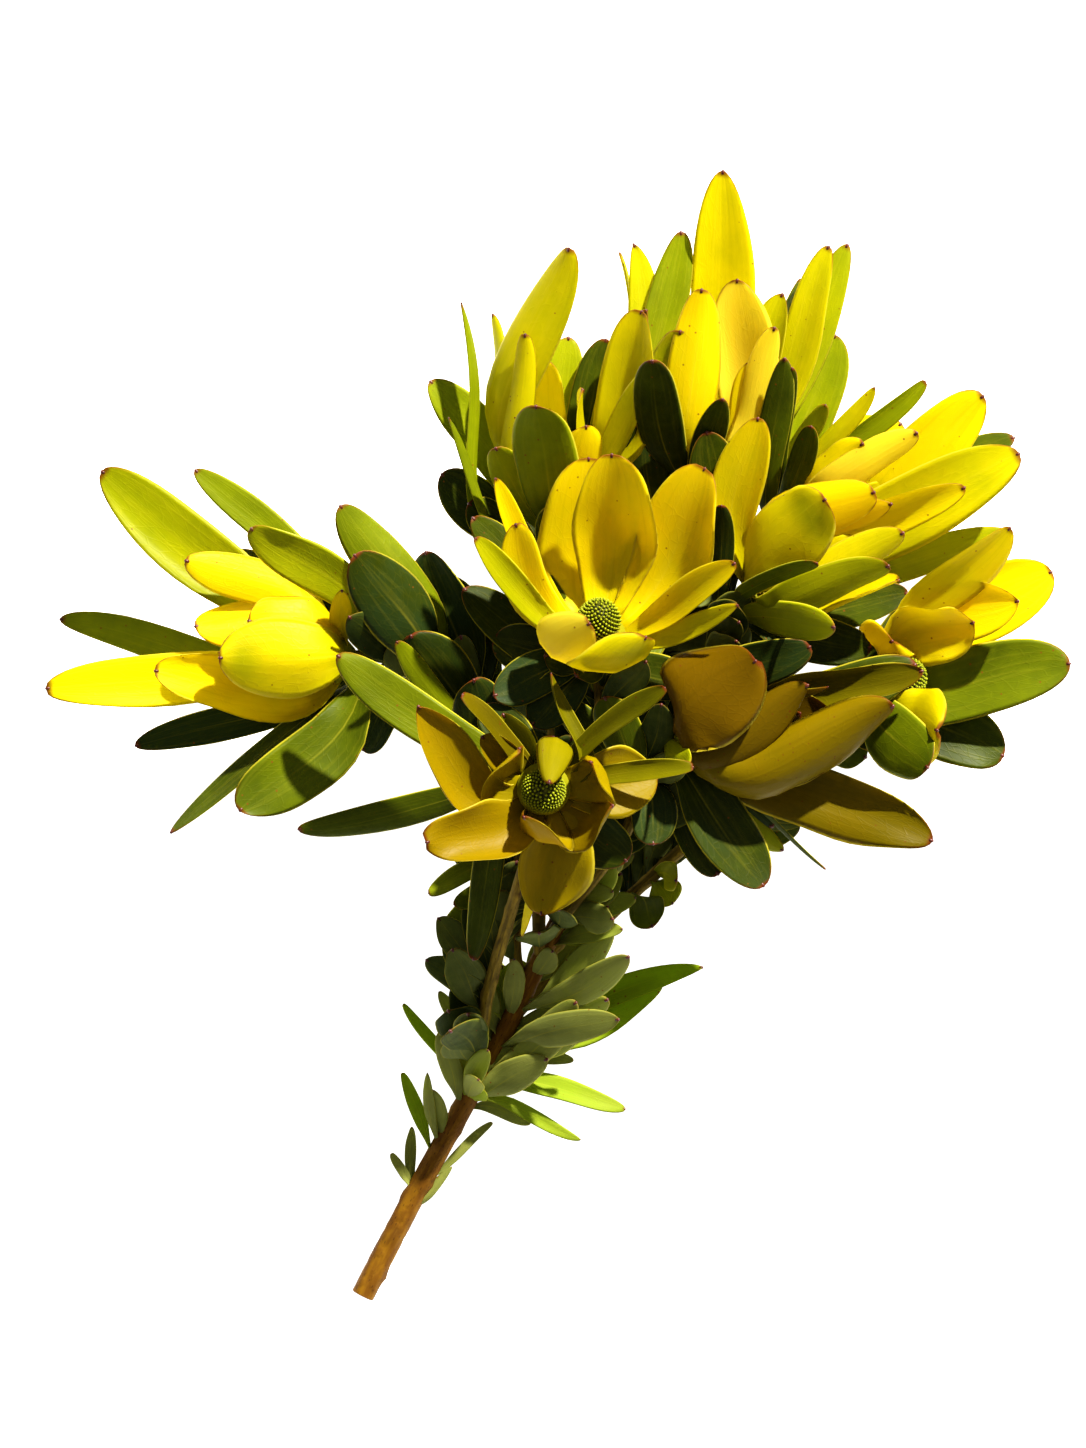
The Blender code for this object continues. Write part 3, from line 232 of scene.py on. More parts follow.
# The bracts and leaves of each head and its branch, the front ones first.
# A bract marked pale is painted paler: painted light for a bract that catches the sun.
BLADES = {
    "lower_front": [
        hood((-15, -4, 130), 25, (-1, -0.1, 0), cup=24, belly=0.66, point=0.3, green=0.05),
        hood((-14, -31, 130), 27, (0, -1, 0), point=0.4, green=0.04),
        hood((21, -26, 128), 23, (0.6, -0.9, 0), cup=24, belly=0.66, point=0.4, green=0.06),
        hood((-4, -18, 136), 17, (0.25, 1, 0), point=0.4, green=0.22),
        hood((13, -9, 130), 24, (1, 0.2, 0), point=0.3, green=0.05),
        cup((-7, -70, 116), 31, side=(0.5, -1, 0), height=5, show=0.6, point=0.5, green=0.05),
        cup((-52, -41, 118), 28, side=(-0.6, -1, 0), height=5, show=0.6, point=0.5, green=0.05),
        cup((39, -16, 128), 30, height=5, show=0.5, point=0.4, green=0.12),
        cup((-56, 13, 122), 27, side=(-1, -0.5, 0), height=5, leave=88, show=0.5, point=0.5, green=0.05),
        ray((-31, 1, 126), 15, green=0.05),
        ray((-37, 18, 120), 10, roll=30, green=0.3),
        ray((-22, 10, 122), 15, green=0.45),
        ray((-3, 26, 134), 8, side=(1, 0.3, 0), belly=0.55, twist=70, green=0.45),
        ray((41, 20, 124), 9, green=0.45),
        ray((53, -11, 118), 9, green=0.45),
        leaf((-88, 33, 102), 19, 8, green=0.7),
        leaf((-30, 13, 88), 18, 10, green=0.95),
        leaf((-104, -36, 66), 13, 14, leave=84, green=0.84),
        leaf((-35, -88, 86), 13, 12, green=0.9),
        leaf((-14, -79, 96), 7, 10, roll=60, green=0.15),
        leaf((27, -49, 92), 24, 10, green=0.93),
    ],
    "centre": [
        hood((34, 41, 124), 44, (0.1, -1, 0.1), cup=22, belly=0.55, green=0.15, patch=0.4),
        hood((13, 46, 122), 28, (-0.8, -0.7, 0), cup=28, pale=1),
        cup((21, 112, 118), 34, green=0.06),
        cup((12, 111, 104), 36, side=(-0.35, 1, 0), green=0.08),
        cup((57, 107, 110), 33, green=0.02),
        ray((-17, 85, 112), 18, leave=88, flare=-0.4, green=0.08),
        ray((-25, 103, 118), 11, leave=86, flare=-0.4, green=0.1),
        ray((-32, 79, 122), 12, leave=88, flare=-0.3, green=0.4),
        ray((69, 69, 126), 14, green=0.05),
        ray((71, 53, 120), 9, green=0.2),
        leaf((-6, 33, 116), 17, 5, green=0.92),
        leaf((-34, 88, 100), 17, 8, green=0.92),
        leaf((-26, 17, 96), 19, 12, green=0.95),
        leaf((-11, 5, 98), 20, 14, green=0.95),
        leaf((7, 25, 118), 15, 6, side=(0, -1, 0), green=0.92),
        leaf((54, 22, 88), 20, 14, green=0.95),
        leaf((42, 2, 88), 18, 20, green=0.95),
        leaf((-26, 40, 84), 21, 16, green=0.95),
        leaf((-38, 60, 70), 20, 24, green=0.95),
    ],
    "lower_right": [
        cup((78, 31, 118), 41, side=(0, 0.15, 1), cup=36, leave=80, belly=0.45, green=0.04),
        cup((99, 21, 108), 21, side=(0, -0.6, 0.5), leave=56, green=0.08, spots=1),
        cup((133, 13, 102), 29, side=(0, -0.9, 0.3), cup=30, leave=56, green=0.08, spots=0.6),
        cup((108, -11, 104), 13, green=0.2),
        ray((107, 21, 106), 5, roll=50, green=0.2),
        ray((145, 27, 88), 18, green=0.35),
        ray((149, -41, 80), 27, green=0.3),
        leaf((82, -59, 76), 27, 8, green=0.93),
        leaf((107, -53, 68), 4, 12, side=(0, -1, 0), leave=78, roll=50, green=0.85),
        leaf((86, -34, 70), 17, 16, green=0.95),
        leaf((53, -11, 112), 10, 4, green=0.5),
        leaf((143, 30, 70), 24, 8, green=0.88),
        leaf((100, 36, 92), 20, 7, green=0.93),
        leaf((90, -45, 52), 13, 24, green=0.45),
        leaf((64, -54, 72), 20, 26, green=0.9),
        leaf((38, -42, 88), 20, 30, green=0.95),
    ],
    "right": [
        cup((106, 95, 112), 33, cup=30, green=0.22, patch=0.6),
        cup((126, 98, 98), 23, cup=30, green=0.05),
        cup((133, 94, 90), 17, flare=-0.4, pale=0.7),
        cup((137, 82, 106), 18, cup=30, green=0.25),
        cup((131, 69, 104), 17, cup=30, green=0.4),
        ray((79, 127, 94), 22, green=0.12),
        ray((162, 100, 80), 19, green=0.1),
        ray((184, 114, 70), 29, green=0.24),
        leaf((103, 71, 118), 8, 5, roll=40, green=0.7),
        leaf((59, 122, 96), 23, 6, green=0.88),
        leaf((65, 94, 92), 10, 12, green=0.93),
        leaf((180, 83, 52), 15, 5, green=0.5),
        leaf((109, 44, 98), 15, 12, green=0.5),
        leaf((125, 36, 64), 20, 14, green=0.95),
        leaf((140, 58, 68), 19, 9, green=0.93),
    ],
    "left": [
        cup((-135, 32, 92), 30, cup=44, green=0.16, patch=0.5),
        cup((-124, 47, 86), 24, green=0.04),
        cup((-145, 45, 78), 25),
        cup((-149, 71, 72), 19, cup=25),
        cup((-161, 27, 78), 27, cup=30, height=5, green=0.12),
        ray((-86, 60, 88), 10, side=(0, 0.8, 0.6), green=0.08),
        ray((-205, 20, 66), 21, leave=26, green=0.16),
        ray((-183, 107, 62), 27, leave=34, green=0.46),
        leaf((-201, 48, 52), 15, 20, side=(0, -1, 0), leave=60, belly=0.3, green=0.66),
        leaf((-146, 108, 44), 14, 9, green=0.6),
        leaf((-123, 83, 80), 20, 7, leave=64, green=0.5),
        leaf((-128, 76, 56), 17, 10, green=0.93),
        leaf((-170, -3, 46), 14, 8, leave=40, green=1),
        leaf((-155, -38, 52), 11, 14, leave=38, twist=50, green=0.84),
        leaf((-127, -29, 76), 27, 5, leave=72, green=0.76),
        leaf((-81, 73, 98), 29, 36, belly=0.45, green=0.93),
        leaf((-87, 93, 78), 22, 42, green=0.68),
        leaf((-53, 75, 66), 27, 54, green=0.95),
        leaf((-59, 41, 84), 26, 62, green=0.92),
        leaf((-65, 39, 92), 10, 70, green=0.6),
        leaf((-79, -5, 44), 17, 30, green=0.98),
        leaf((-48, 66, 50), 24, 56, green=0.95),
        leaf((-34, 24, 84), 22, 80, green=0.95),
        leaf((-52, -61, 60), 9, 120, green=0.7),
        leaf((-41, -66, 68), 9, 124, green=0.75),
        leaf((-47, -78, 54), 10, 128, green=0.7),
    ],
    "upper_left": [
        cup((11, 124, 98), 22, flare=-0.4, pale=0.5),
        cup((32, 170, 88), 25, green=0.18),
        cup((-13, 161, 92), 13, green=0.2, spots=1),
        cup((-8, 150, 82), 24, green=0.12),
        cup((35, 171, 76), 17, green=0.4),
        ray((39, 148, 98), 13, green=0.3),
        ray((5, 195, 76), 23, side=(-1, 0.3, 0.3), leave=34, green=0.28),
        ray((-27, 170, 82), 12, side=(-1, 0, 0.3), leave=50, roll=50, twist=60, green=0.35),
        leaf((-38, 174, 80), 8, 26, side=(-1, 0, 0.3), leave=72, belly=0.5, roll=60, green=0.62),
        leaf((4, 161, 50), 20, 6, green=0.5),
        leaf((-51, 143, 62), 19, 9, green=0.6),
        leaf((-43, 128, 84), 6, 34, side=(-1, 0, 0.3), leave=66, roll=60, green=0.7),
        leaf((-47, 106, 54), 22, 22, green=0.93),
        leaf((-9, 132, 108), 26, 9, green=0.62),
        leaf((-25, 117, 92), 16, 13, green=0.5),
        leaf((-36, 94, 74), 18, 24, green=0.93),
        leaf((25, 128, 80), 15, 12, green=0.9),
        leaf((19, 160, 64), 19, 6, green=0.85),
    ],
    "top": [
        cup((57, 179, 88), 21, cup=28, green=0.1),
        cup((49, 163, 95), 23, cup=28, green=0.3, patch=0.8),
        cup((71, 183, 74), 27, cup=25, green=0, pale=1),
        cup((86, 164, 84), 14, pale=0.6),
        ray((66, 227, 68), 26, green=0.2),
        ray((49, 203, 58), 17, side=(-1, 0.2, 0.2), leave=40, green=0.6),
        ray((30, 198, 60), 14, side=(-1, 0.2, 0.2), leave=50, green=0.3),
        ray((25, 195, 52), 8, side=(-1, 0.2, 0.2), leave=55, roll=50, green=0.3),
        ray((108, 197, 62), 16, green=0.25),
        ray((78, 150, 76), 16, green=0.15),
        ray((90, 178, 58), 20, green=0.35),
        leaf((116, 198, 52), 16, 4, green=0.5),
        leaf((98, 184, 72), 8, 6, roll=50, green=0.8),
        leaf((37, 150, 98), 20, 8, green=0.88),
        leaf((33, 126, 76), 20, 34, green=0.93),
        leaf((65, 134, 104), 13, 12, green=0.9),
    ],
    "upper_right": [
        ray((170, 137, 70), 27, green=0.12),
        cup((143, 122, 84), 15, cup=20, pale=0.8),
        ray((126, 140, 76), 8, green=0.3),
        ray((147, 143, 52), 9, leave=44, green=0.6),
        cup((140, 102, 86), 16, cup=20, green=0.2),
        cup((122, 118, 80), 17, green=0.1),
        leaf((111, 162, 62), 23, 4, green=0.55),
        leaf((101, 125, 80), 11, 8, green=0.8),
        leaf((107, 134, 70), 9, 6, green=0.5),
        leaf((93, 148, 84), 11, 7, green=0.8),
        leaf((90, 151, 70), 13, 14, green=0.85),
        leaf((183, 121, 46), 18, 6, green=0.8),
    ],
    "far_right": [
        cup((134, 40, 98), 26, flare=-0.4, green=0),
        cup((166, 47, 88), 30, green=0.1),
        cup((184, 55, 78), 27, green=0.05),
        cup((158, 56, 82), 18, green=0),
        cup((152, 3, 92), 32, side=(0.2, -1, 0.2), green=0.15),
        ray((198, 67, 66), 32, green=0.1),
        ray((180, 84, 64), 22, green=0.15),
        leaf((205, 30, 56), 30, 10, side=(0, -1, -0.5), leave=44, green=0.72),
        leaf((179, -7, 48), 28, 7, green=0.9),
        leaf((148, -12, 68), 26, 5, green=0.78),
        leaf((128, -4, 54), 18, 10, green=0.9),
        leaf((160, 68, 60), 20, 8, green=0.9),
        leaf((47, -57, 52), 12, 120, green=0.5),
        leaf((37, -74, 54), 15, 133, green=0.75),
        leaf((46, -66, 62), 14, 124, green=0.6),
    ],
}

# Leaves below the crown that bend down onto the surface and carry it, by branch.
RESTING_LEAVES = {
    "far_right": [leaf((125, -8, -20), 17, 42)],
    "upper_right": [leaf((125, 60, -20), 17, 32)],
    "top": [leaf((72, 118, -20), 16, 24), leaf((20, 120, -20), 16, 34)],
    "upper_left": [leaf((-30, 100, -20), 17, 32)],
    "left": [leaf((-42, 2, -20), 17, 66), leaf((-80, 62, -20), 17, 24)],
}

# The small leaves of the main stem that stand out by themselves.
STEM_BLADES = [
    small_leaf((-67, -168, 14), 4, 47),
    small_leaf((-59, -157, 12), 5, 48),
    small_leaf((-43, -173, 12), 4, 41),
    small_leaf((-27, -155, 14), 4, 55),
    small_leaf((-62, -135, 22), 6, 64, green=0.4),
    small_leaf((-53, -135, 32), 5, 69),
    small_leaf((-11, -155, 16), 6, 88),
    small_leaf((9, -162, 18), 6, 92, green=0.5),
    small_leaf((27, -149, 24), 10, 98, green=0.5),
    small_leaf((-5, -129, 44), 14, 93),
    small_leaf((-62, -107, 34), 5, 95, green=0.36),
    small_leaf((6, -129, 26), 7, 110),
    small_leaf((-48, -102, 44), 7, 112),
    small_leaf((14, -116, 32), 8, 122, green=0.36),
    small_leaf((8, -105, 58), 15, 106),
    small_leaf((20, -103, 54), 15, 113, leave=60, green=0.7),
    small_leaf((42, -99, 40), 15, 120, leave=64, green=0.45),
    small_leaf((58, -92, 34), 12, 128, leave=66, green=0.36),
    small_leaf((34, -84, 52), 15, 136, leave=62, green=0.7),
    small_leaf((22, -78, 66), 14, 142, leave=56, green=0.7),
    small_leaf((-48, -118, 38), 9, 88),
    small_leaf((-50, -141, 28), 9, 72),
    small_leaf((24, -112, 50), 14, 118),
]


def at(x, y, z):
    """A point of the frame from its place in millimetres."""
    return Vector((x, y, z)) * MM


def grounded(point):
    """The point, raised to the surface if it lies below it."""
    return Vector((point.x, point.y, max(point.z, 0)))


# Curves


def bend(curve, s):
    """A point of the cubic curve with these four points, at share s of it."""
    r = 1 - s
    return curve[0] * r**3 + curve[1] * (3 * r * r * s) + curve[2] * (3 * r * s * s) + curve[3] * s**3


def bend_way(curve, s):
    """The direction of that curve there."""
    r = 1 - s
    first = (curve[1] - curve[0]) * (r * r)
    second = (curve[2] - curve[1]) * (2 * r * s)
    return (first + second + (curve[3] - curve[2]) * (s * s)).normalized()


def through(points, steps):
    """Points of a smooth curve through the given ones, with this many steps between two of them."""
    steps_between = [(b - a).normalized() for a, b in zip(points, points[1:])]
    ways = [steps_between[0]]
    ways += [(a + b).normalized() for a, b in zip(steps_between, steps_between[1:])]
    ways.append(steps_between[-1])
    found = []
    for a, b, leaving, arriving in zip(points, points[1:], ways, ways[1:]):
        reach = (b - a).length / 3
        curve = (a, a + leaving * reach, b - arriving * reach, b)
        found += [bend(curve, k / steps) for k in range(steps)]
    return found + [points[-1]]


def along(line, distance):
    """The point this far along a line, and the line's direction there."""
    left = distance
    for a, b in zip(line, line[1:]):
        step = (b - a).length
        if left <= step:
            return a.lerp(b, left / step), (b - a).normalized()
        left -= step
    return line[-1], (line[-1] - line[-2]).normalized()


def length_of(line):
    return sum((b - a).length for a, b in zip(line, line[1:]))


def stem_line():
    return through([at(*place) for place in MAIN_STEM], 2)


def head_axis(name):
    return Vector(BRANCHES[name][2]).normalized()


def branch_line(name):
    """A branch's centre line, from inside the main stem to the base of its head."""
    distance, places, _ = BRANCHES[name]
    start, _ = along(stem_line(), distance * MM)
    points = [start, *(at(*place) for place in places)]
    neck = points[-1] - head_axis(name) * NECK
    return through([*points[:-1], neck, points[-1]], 2)


def receptacle_radius(height):
    for (low_radius, low), (radius, high) in zip(RECEPTACLE, RECEPTACLE[1:]):
        if height <= high:
            return low_radius + (radius - low_radius) * (height - low) / (high - low)
    return RECEPTACLE[-1][0]


# Rods, turned bases and cones


def square_to(way):
    """Two directions square to the given one and to each other."""
    side = way.cross(Vector((0, 0, 1)))
    if side.length < 0.1:
        side = way.cross(Vector((0, 1, 0)))
    side.normalize()
    return side, way.cross(side).normalized()


def spokes(way, sides, start=0.0):
    """Directions square to a way, evenly all round it."""
    side, up = square_to(way)
    turns = [2 * pi * n / sides + start for n in range(sides)]
    return [side * cos(turn) + up * sin(turn) for turn in turns]


def tube(line, radii, sides, more=0.0, last_way=None):
    """A round rod along a line, from the first radius to the second, wider and longer all over by more."""
    corners = []
    for k, point in enumerate(line):
        before = line[max(k - 1, 0)]
        after = line[min(k + 1, len(line) - 1)]
        way = (after - before).normalized()
        if last_way and k == len(line) - 1:
            way = last_way
        share = k / (len(line) - 1)
        radius = radii[0] + (radii[1] - radii[0]) * share + more / cos(pi / sides)
        shift = way * more * ((k == len(line) - 1) - (k == 0))
        corners += [point + shift + out * radius for out in spokes(way, sides)]
    return corners, ring_triangles(len(line), sides)


def turned(profile, sides, base, axis, above):
    """A solid turned round an axis: radius and height of each ring of its outline."""
    outs = spokes(axis, sides)
    corners = [base + axis * (above + height) + out * radius for radius, height in profile for out in outs]
    return corners, ring_triangles(len(profile), sides)


def neighbours(rings, sides):
    """Each corner of equal rings but the last, with the next corner on its ring."""
    for first in range(0, (rings - 1) * sides, sides):
        for n in range(sides):
            yield first + n, first + (n + 1) % sides


def split(a, b, sides, other_way=False):
    """Two triangles between two neighbours on a ring and the two beyond them on the next."""
    if other_way:
        return [(a, b, a + sides), (b, b + sides, a + sides)]
    return [(a, b, b + sides), (a, b + sides, a + sides)]


def ring_triangles(rings, sides):
    """Triangles between equal rings, with both ends closed."""
    triangles = []
    for a, b in neighbours(rings, sides):
        triangles += split(a, b, sides)
    last = (rings - 1) * sides
    for n in range(1, sides - 1):
        triangles += [(0, n + 1, n), (last, last + n, last + n + 1)]
    return triangles


def cone_outline(angle):
    """The cone's radius at this angle above its foot, as a share: a dome that narrows again at its foot."""
    return cos(angle) ** CONE_ROUNDNESS * min(1, CONE_FOOT + (1 - CONE_FOOT) * angle / CONE_FOOT_ENDS)


def cone_foot(line, axis):
    return line[-1] + axis * (2 * SEAT + RECEPTACLE[-1][1])


def cone_solid(name, line):
    """The cone: rows of florets that stand out between hollows, each row half a floret on from the last."""
    axis = head_axis(name)
    side, up = square_to(axis)
    foot = cone_foot(line, axis)
    step = 2 * pi / CONE_SIDES
    corners = []
    for row in range(CONE_ROWS):
        angle = row / CONE_ROWS * pi / 2
        for n in range(CONE_SIDES):
            rise = FLORET_RISE * ((n + row) % 2) if row else 0
            radius = (CONE_RADIUS - FLORET_RISE) * cone_outline(angle) + rise * cos(angle)
            height = (CONE_HEIGHT - FLORET_RISE) * sin(angle) + rise * sin(angle)
            corners.append(foot + axis * height + (side * cos(n * step) + up * sin(n * step)) * radius)
    top = len(corners)
    corners.append(foot + axis * CONE_HEIGHT)
    triangles = [(0, n + 1, n) for n in range(1, CONE_SIDES - 1)]
    for a, b in neighbours(CONE_ROWS, CONE_SIDES):
        triangles += split(a, b, CONE_SIDES, (a % CONE_SIDES + a // CONE_SIDES) % 2)
    last = top - CONE_SIDES
    triangles += [(last + n, last + (n + 1) % CONE_SIDES, top) for n in range(CONE_SIDES)]
    return corners, triangles


# Blades


class Blade:
    """The curved surface of one blade. lift, opened and shrink bend it clear of what it would cross."""

    def __init__(self, facts, line, axis=None, lift=0.0, opened=0, shrink=1.0):
        self.facts = facts
        tip = at(*facts["tip"]) + Vector((0, 0, lift))
        if "back" in facts:
            seat, axis = along(line, length_of(line) - facts["back"] * MM)
            sunk = LEAF_SUNK
        elif "distance" in facts:
            seat, axis = along(line, facts["distance"] * MM)
            sunk = SMALL_SUNK
        else:
            seat = line[-1] + axis * (SEAT + facts["height"] * MM)
            sunk = receptacle_radius(facts["height"] * MM) - BRACT_SUNK
        toward = Vector(facts["side"]) if "side" in facts else tip - seat
        out = (toward - axis * toward.dot(axis)).normalized()
        leave = radians(facts["leave"] + opened)
        way = axis * cos(leave) + out * sin(leave)
        root = seat + out * sunk
        tip = root.lerp(tip, shrink)
        reach = (tip - root).length
        arrive = ((tip - root).normalized() + out * facts["flare"]).normalized()
        handle = reach * facts["belly"]
        self.curve = (root, root + way * handle, tip - arrive * handle, tip)
        self.width = facts["width"] * MM * (0.5 + 0.5 * shrink)
        rule = Random(str(facts["tip"]))
        self.sway = rule.uniform(-SWAY, SWAY) * reach
        self.turned = radians(rule.uniform(-TURNED, TURNED) + facts.get("twist", 0))
        self.faces = self.carried(axis * sin(leave) - out * cos(leave))

    def carried(self, face):
        """The way that the upper face looks, carried along the blade and turned by roll and twist."""
        ways = [bend_way(self.curve, k / FRAMES) for k in range(FRAMES + 1)]
        found = [face]
        for before, way in zip(ways, ways[1:]):
            found.append(before.rotation_difference(way) @ found[-1])
        up = Vector((0, 0, 1 if found[FRAMES // 2].z >= 0 else -1))
        shown = self.facts["show"] * angle_about(ways[FRAMES // 2], found[FRAMES // 2], up)
        for k, way in enumerate(ways):
            s = k / FRAMES
            turn = (shown + radians(self.facts.get("roll", 0))) * min(1, s / TURNED_BY)
            turn += self.turned * s
            found[k] = Quaternion(way, turn) @ found[k]
        return found

    def half_width(self, s):
        peak = self.facts["peak"]
        point = self.facts.get("point", POINTS[self.facts["kind"]])
        base = min(WIDEST_BASE, BASE_WIDTHS[self.facts["kind"]] / self.width)
        if s < peak:
            share = base + (1 - base) * sin(s / peak * pi / 2)
        else:
            t = (s - peak) / (1 - peak)
            share = (1 - point) * (1 - t ** ROUND_TIP[0]) ** ROUND_TIP[1] + point * (1 - t**SHARP_TIP)
        return share * self.width / 2

    def point(self, s, u, above=0.0, pad=0.0):
        """The point at share s of the length and u from -1 to 1 across, this far above the surface."""
        k = min(int(s * FRAMES), FRAMES - 1)
        face = self.faces[k].lerp(self.faces[k + 1], s * FRAMES - k).normalized()
        across = bend_way(self.curve, s).cross(face).normalized()
        curl = radians(self.facts["cup"]) * min(1, CURL_AT_ROOT + (1 - CURL_AT_ROOT) * s / CURLED_BY)
        radius = (self.half_width(s) + pad) / sin(curl)
        found = eased(bend(self.curve, s) + across * (self.sway * sin(pi * s)))
        found += across * (radius * sin(curl * u)) + face * (radius * (1 - cos(curl * u)))
        found += (face * cos(curl * u) - across * sin(curl * u)) * above
        return grounded(found)


def angle_about(way, face, wanted):
    """The turn about a way that brings a face as near as it can to a wanted direction."""
    return atan2(way.dot(face.cross(wanted)), face.dot(wanted - way * way.dot(wanted)))


def eased(point):
    """A low point of a blade's middle line, eased up, so that the blade bends along the surface."""
    room = SURFACE_SOFTNESS - LOWEST_SPINE
    if point.z < SURFACE_SOFTNESS:
        return Vector((point.x, point.y, LOWEST_SPINE + room * exp((point.z - SURFACE_SOFTNESS) / room)))
    return point


def blade_solid(blade, stations, pad=0.0):
    """Corners and triangles of a thin closed blade, with one corner at the tip.

    A bract has four corners at each station: its edges, and its middle above and below. A leaf is so flat
    that it has three, without the one above. A bract's two faces are split alike, and a leaf's each bulge
    outward, so that a twist never makes them cross.
    """
    half = BLADE_THICKNESS / 2 + pad
    flat = blade.facts["kind"] in ("leaf", "small")
    places = ((-1, 0), (1, 0), (0, -half)) if flat else ((-1, 0), (0, half), (1, 0), (0, -half))
    sides = len(places)
    corners = [blade.point(s, u, above, pad) for s in stations for u, above in places]
    corners.append(blade.point(1, 0, 0, pad) + bend_way(blade.curve, 1) * pad)
    tip = len(corners) - 1
    last = tip - sides
    triangles = [(0, n + 1, n) for n in range(1, sides - 1)]
    for first in range(0, last, sides):
        centre = sum(corners[first : first + 2 * sides], Vector()) / (2 * sides)
        for n in range(sides):
            a, b = first + n, first + (n + 1) % sides
            one = (corners[a] + corners[b + sides]) / 2 - centre
            other = (corners[b] + corners[a + sides]) / 2 - centre
            triangles += split(a, b, sides, one.length < other.length if flat else n % 2)
    triangles += [(last + n, last + (n + 1) % sides, tip) for n in range(sides)]
    return corners, triangles


# Placing blades clear of each other


class Placed:
    """What has been placed so far: for each solid its node, its box, and its tree of triangles."""

    def __init__(self):
        self.solids = []

    def add(self, node, corners, triangles, outer=None):
        tree = BVHTree.FromPolygons(corners, triangles)
        outer_tree = BVHTree.FromPolygons(corners, outer) if outer else None
        self.solids.append((node, box_of(corners), tree, outer_tree))

    def crosses(self, node, corners, triangles, within_node):
        """Whether the solid crosses one of another node or, if asked, the outer part of one of its own."""
        low, high = box_of(corners)
        tree = BVHTree.FromPolygons(corners, triangles)
        for other, (other_low, other_high), other_tree, outer_tree in self.solids:
            if any(low[k] > other_high[k] or high[k] < other_low[k] for k in range(3)):
                continue
            against = other_tree if other != node else (outer_tree if within_node else None)
            if against and tree.overlap(against):
                return True
        return False


def box_of(corners):
    low = [min(corner[k] for corner in corners) for k in range(3)]
    high = [max(corner[k] for corner in corners) for k in range(3)]
    return low, high


def bends(lifts, openings):
    """Ways to bend a blade, the slightest first: its tip's lift, and its root's opening in degrees."""
    found = [(lift, opened) for lift in lifts for opened in openings]
    return sorted(found, key=lambda way: abs(way[0]) / LIFT_STEP + abs(way[1]) / OPENING_STEP)


LIFT_STEP = 3 * MM
OPENING_STEP = 8
SLIGHT_BENDS = bends([k * LIFT_STEP for k in range(-3, 4)], (0,))
BENDS = bends([k * LIFT_STEP for k in range(-11, 12)], (0, 12, -12, 24, -24))
SHRINKS = (1, 0.88, 0.75)


def root_triangles(facts):
    """How many of a blade's triangles lie before its second station, where it may cross its own kind."""
    return 7 if facts["kind"] in ("leaf", "small") else 10


def place(placed, node, facts, line, axis, stations, ways=BENDS, shrinks=SHRINKS, needed=True):
    """The blade, bent clear of all that stands already, or None where no bend frees it."""
    for within_node in (True, False) if needed else (True,):
        for shrink in shrinks:
            for lift, opened in ways:
                blade = Blade(facts, line, axis, lift, opened, shrink)
                corners, triangles = blade_solid(blade, stations, CLEARANCE)
                tested = triangles[root_triangles(facts) :]
                if placed.crosses(node, corners, triangles, False):
                    continue
                if within_node and placed.crosses(node, corners, tested, True):
                    continue
                corners, triangles = blade_solid(blade, stations)
                placed.add(node, corners, triangles, triangles[root_triangles(facts) :])
                return blade
    return None


def round_about(axis, angle):
    """The direction square to the axis at this angle round it, with angle 0 facing up."""
    up = (Vector((0, 0, 1)) - axis * axis.z).normalized()
    return up * cos(angle) + axis.cross(up) * sin(angle)


def scatter(placed, node, line, axis, stations, count, tries, draw):
    """Up to this many blades from a rule that draws the facts of one, each where there is room for it."""
    found = []
    for k in range(tries):
        if len(found) == count:
            break
        facts = draw(k)
        blade = facts and place(placed, node, facts, line, axis, stations, SLIGHT_BENDS, (1,), False)
        if blade:
            found.append(blade)
    return found


def aside(point, way, out, reach, spread):
    """The point this far off at an angle from a way, to this side of it, in millimetres."""
    return tuple((point + way * (reach * cos(spread)) + out * (reach * sin(spread))) / MM)


def hidden_bracts(name, placed, line):
    """The bracts on a head's far side, by the golden angle."""
    rule = Random(name)
    axis = head_axis(name)
    base = line[-1] + axis * BRACT_HEIGHT[1] * MM

    def draw(k):
        out = round_about(axis, k * GOLDEN_ANGLE)
        spread = radians(rule.uniform(*BRACT_SPREAD))
        reach = rule.uniform(*BRACT_REACH) * MM
        if out.z > BRACT_FACES_DOWN:
            return None
        tip = aside(base, axis, out, reach, spread)
        return ray(tip, rule.uniform(*BRACT_WIDTH), height=rule.uniform(*BRACT_HEIGHT), show=0)

    count = 0 if axis.z > FACES_UP else HIDDEN_BRACTS
    return scatter(placed, "bracts_" + name, line, axis, BLADE_STATIONS, count, HIDDEN_TRIES, draw)


def hidden_leaves(name, placed, line):
    """Leaves all round a branch, by the golden angle."""
    rule = Random("leaves " + name)
    longest_back = length_of(line) + LEAFY_BACK[1] * MM

    def draw(k):
        back = rule.uniform(LEAFY_BACK[0] * MM, longest_back)
        point, way = along(line, length_of(line) - back)
        out = round_about(way, k * GOLDEN_ANGLE)
        reach = rule.uniform(*LEAF_REACH) * MM
        spread = radians(rule.uniform(*LEAF_SPREAD))
        return leaf(aside(point, way, out, reach, spread), rule.uniform(*LEAF_WIDTH), back / MM)

    return scatter(placed, "branch_" + name, line, None, BLADE_STATIONS, BRANCH_LEAVES, HIDDEN_TRIES, draw)


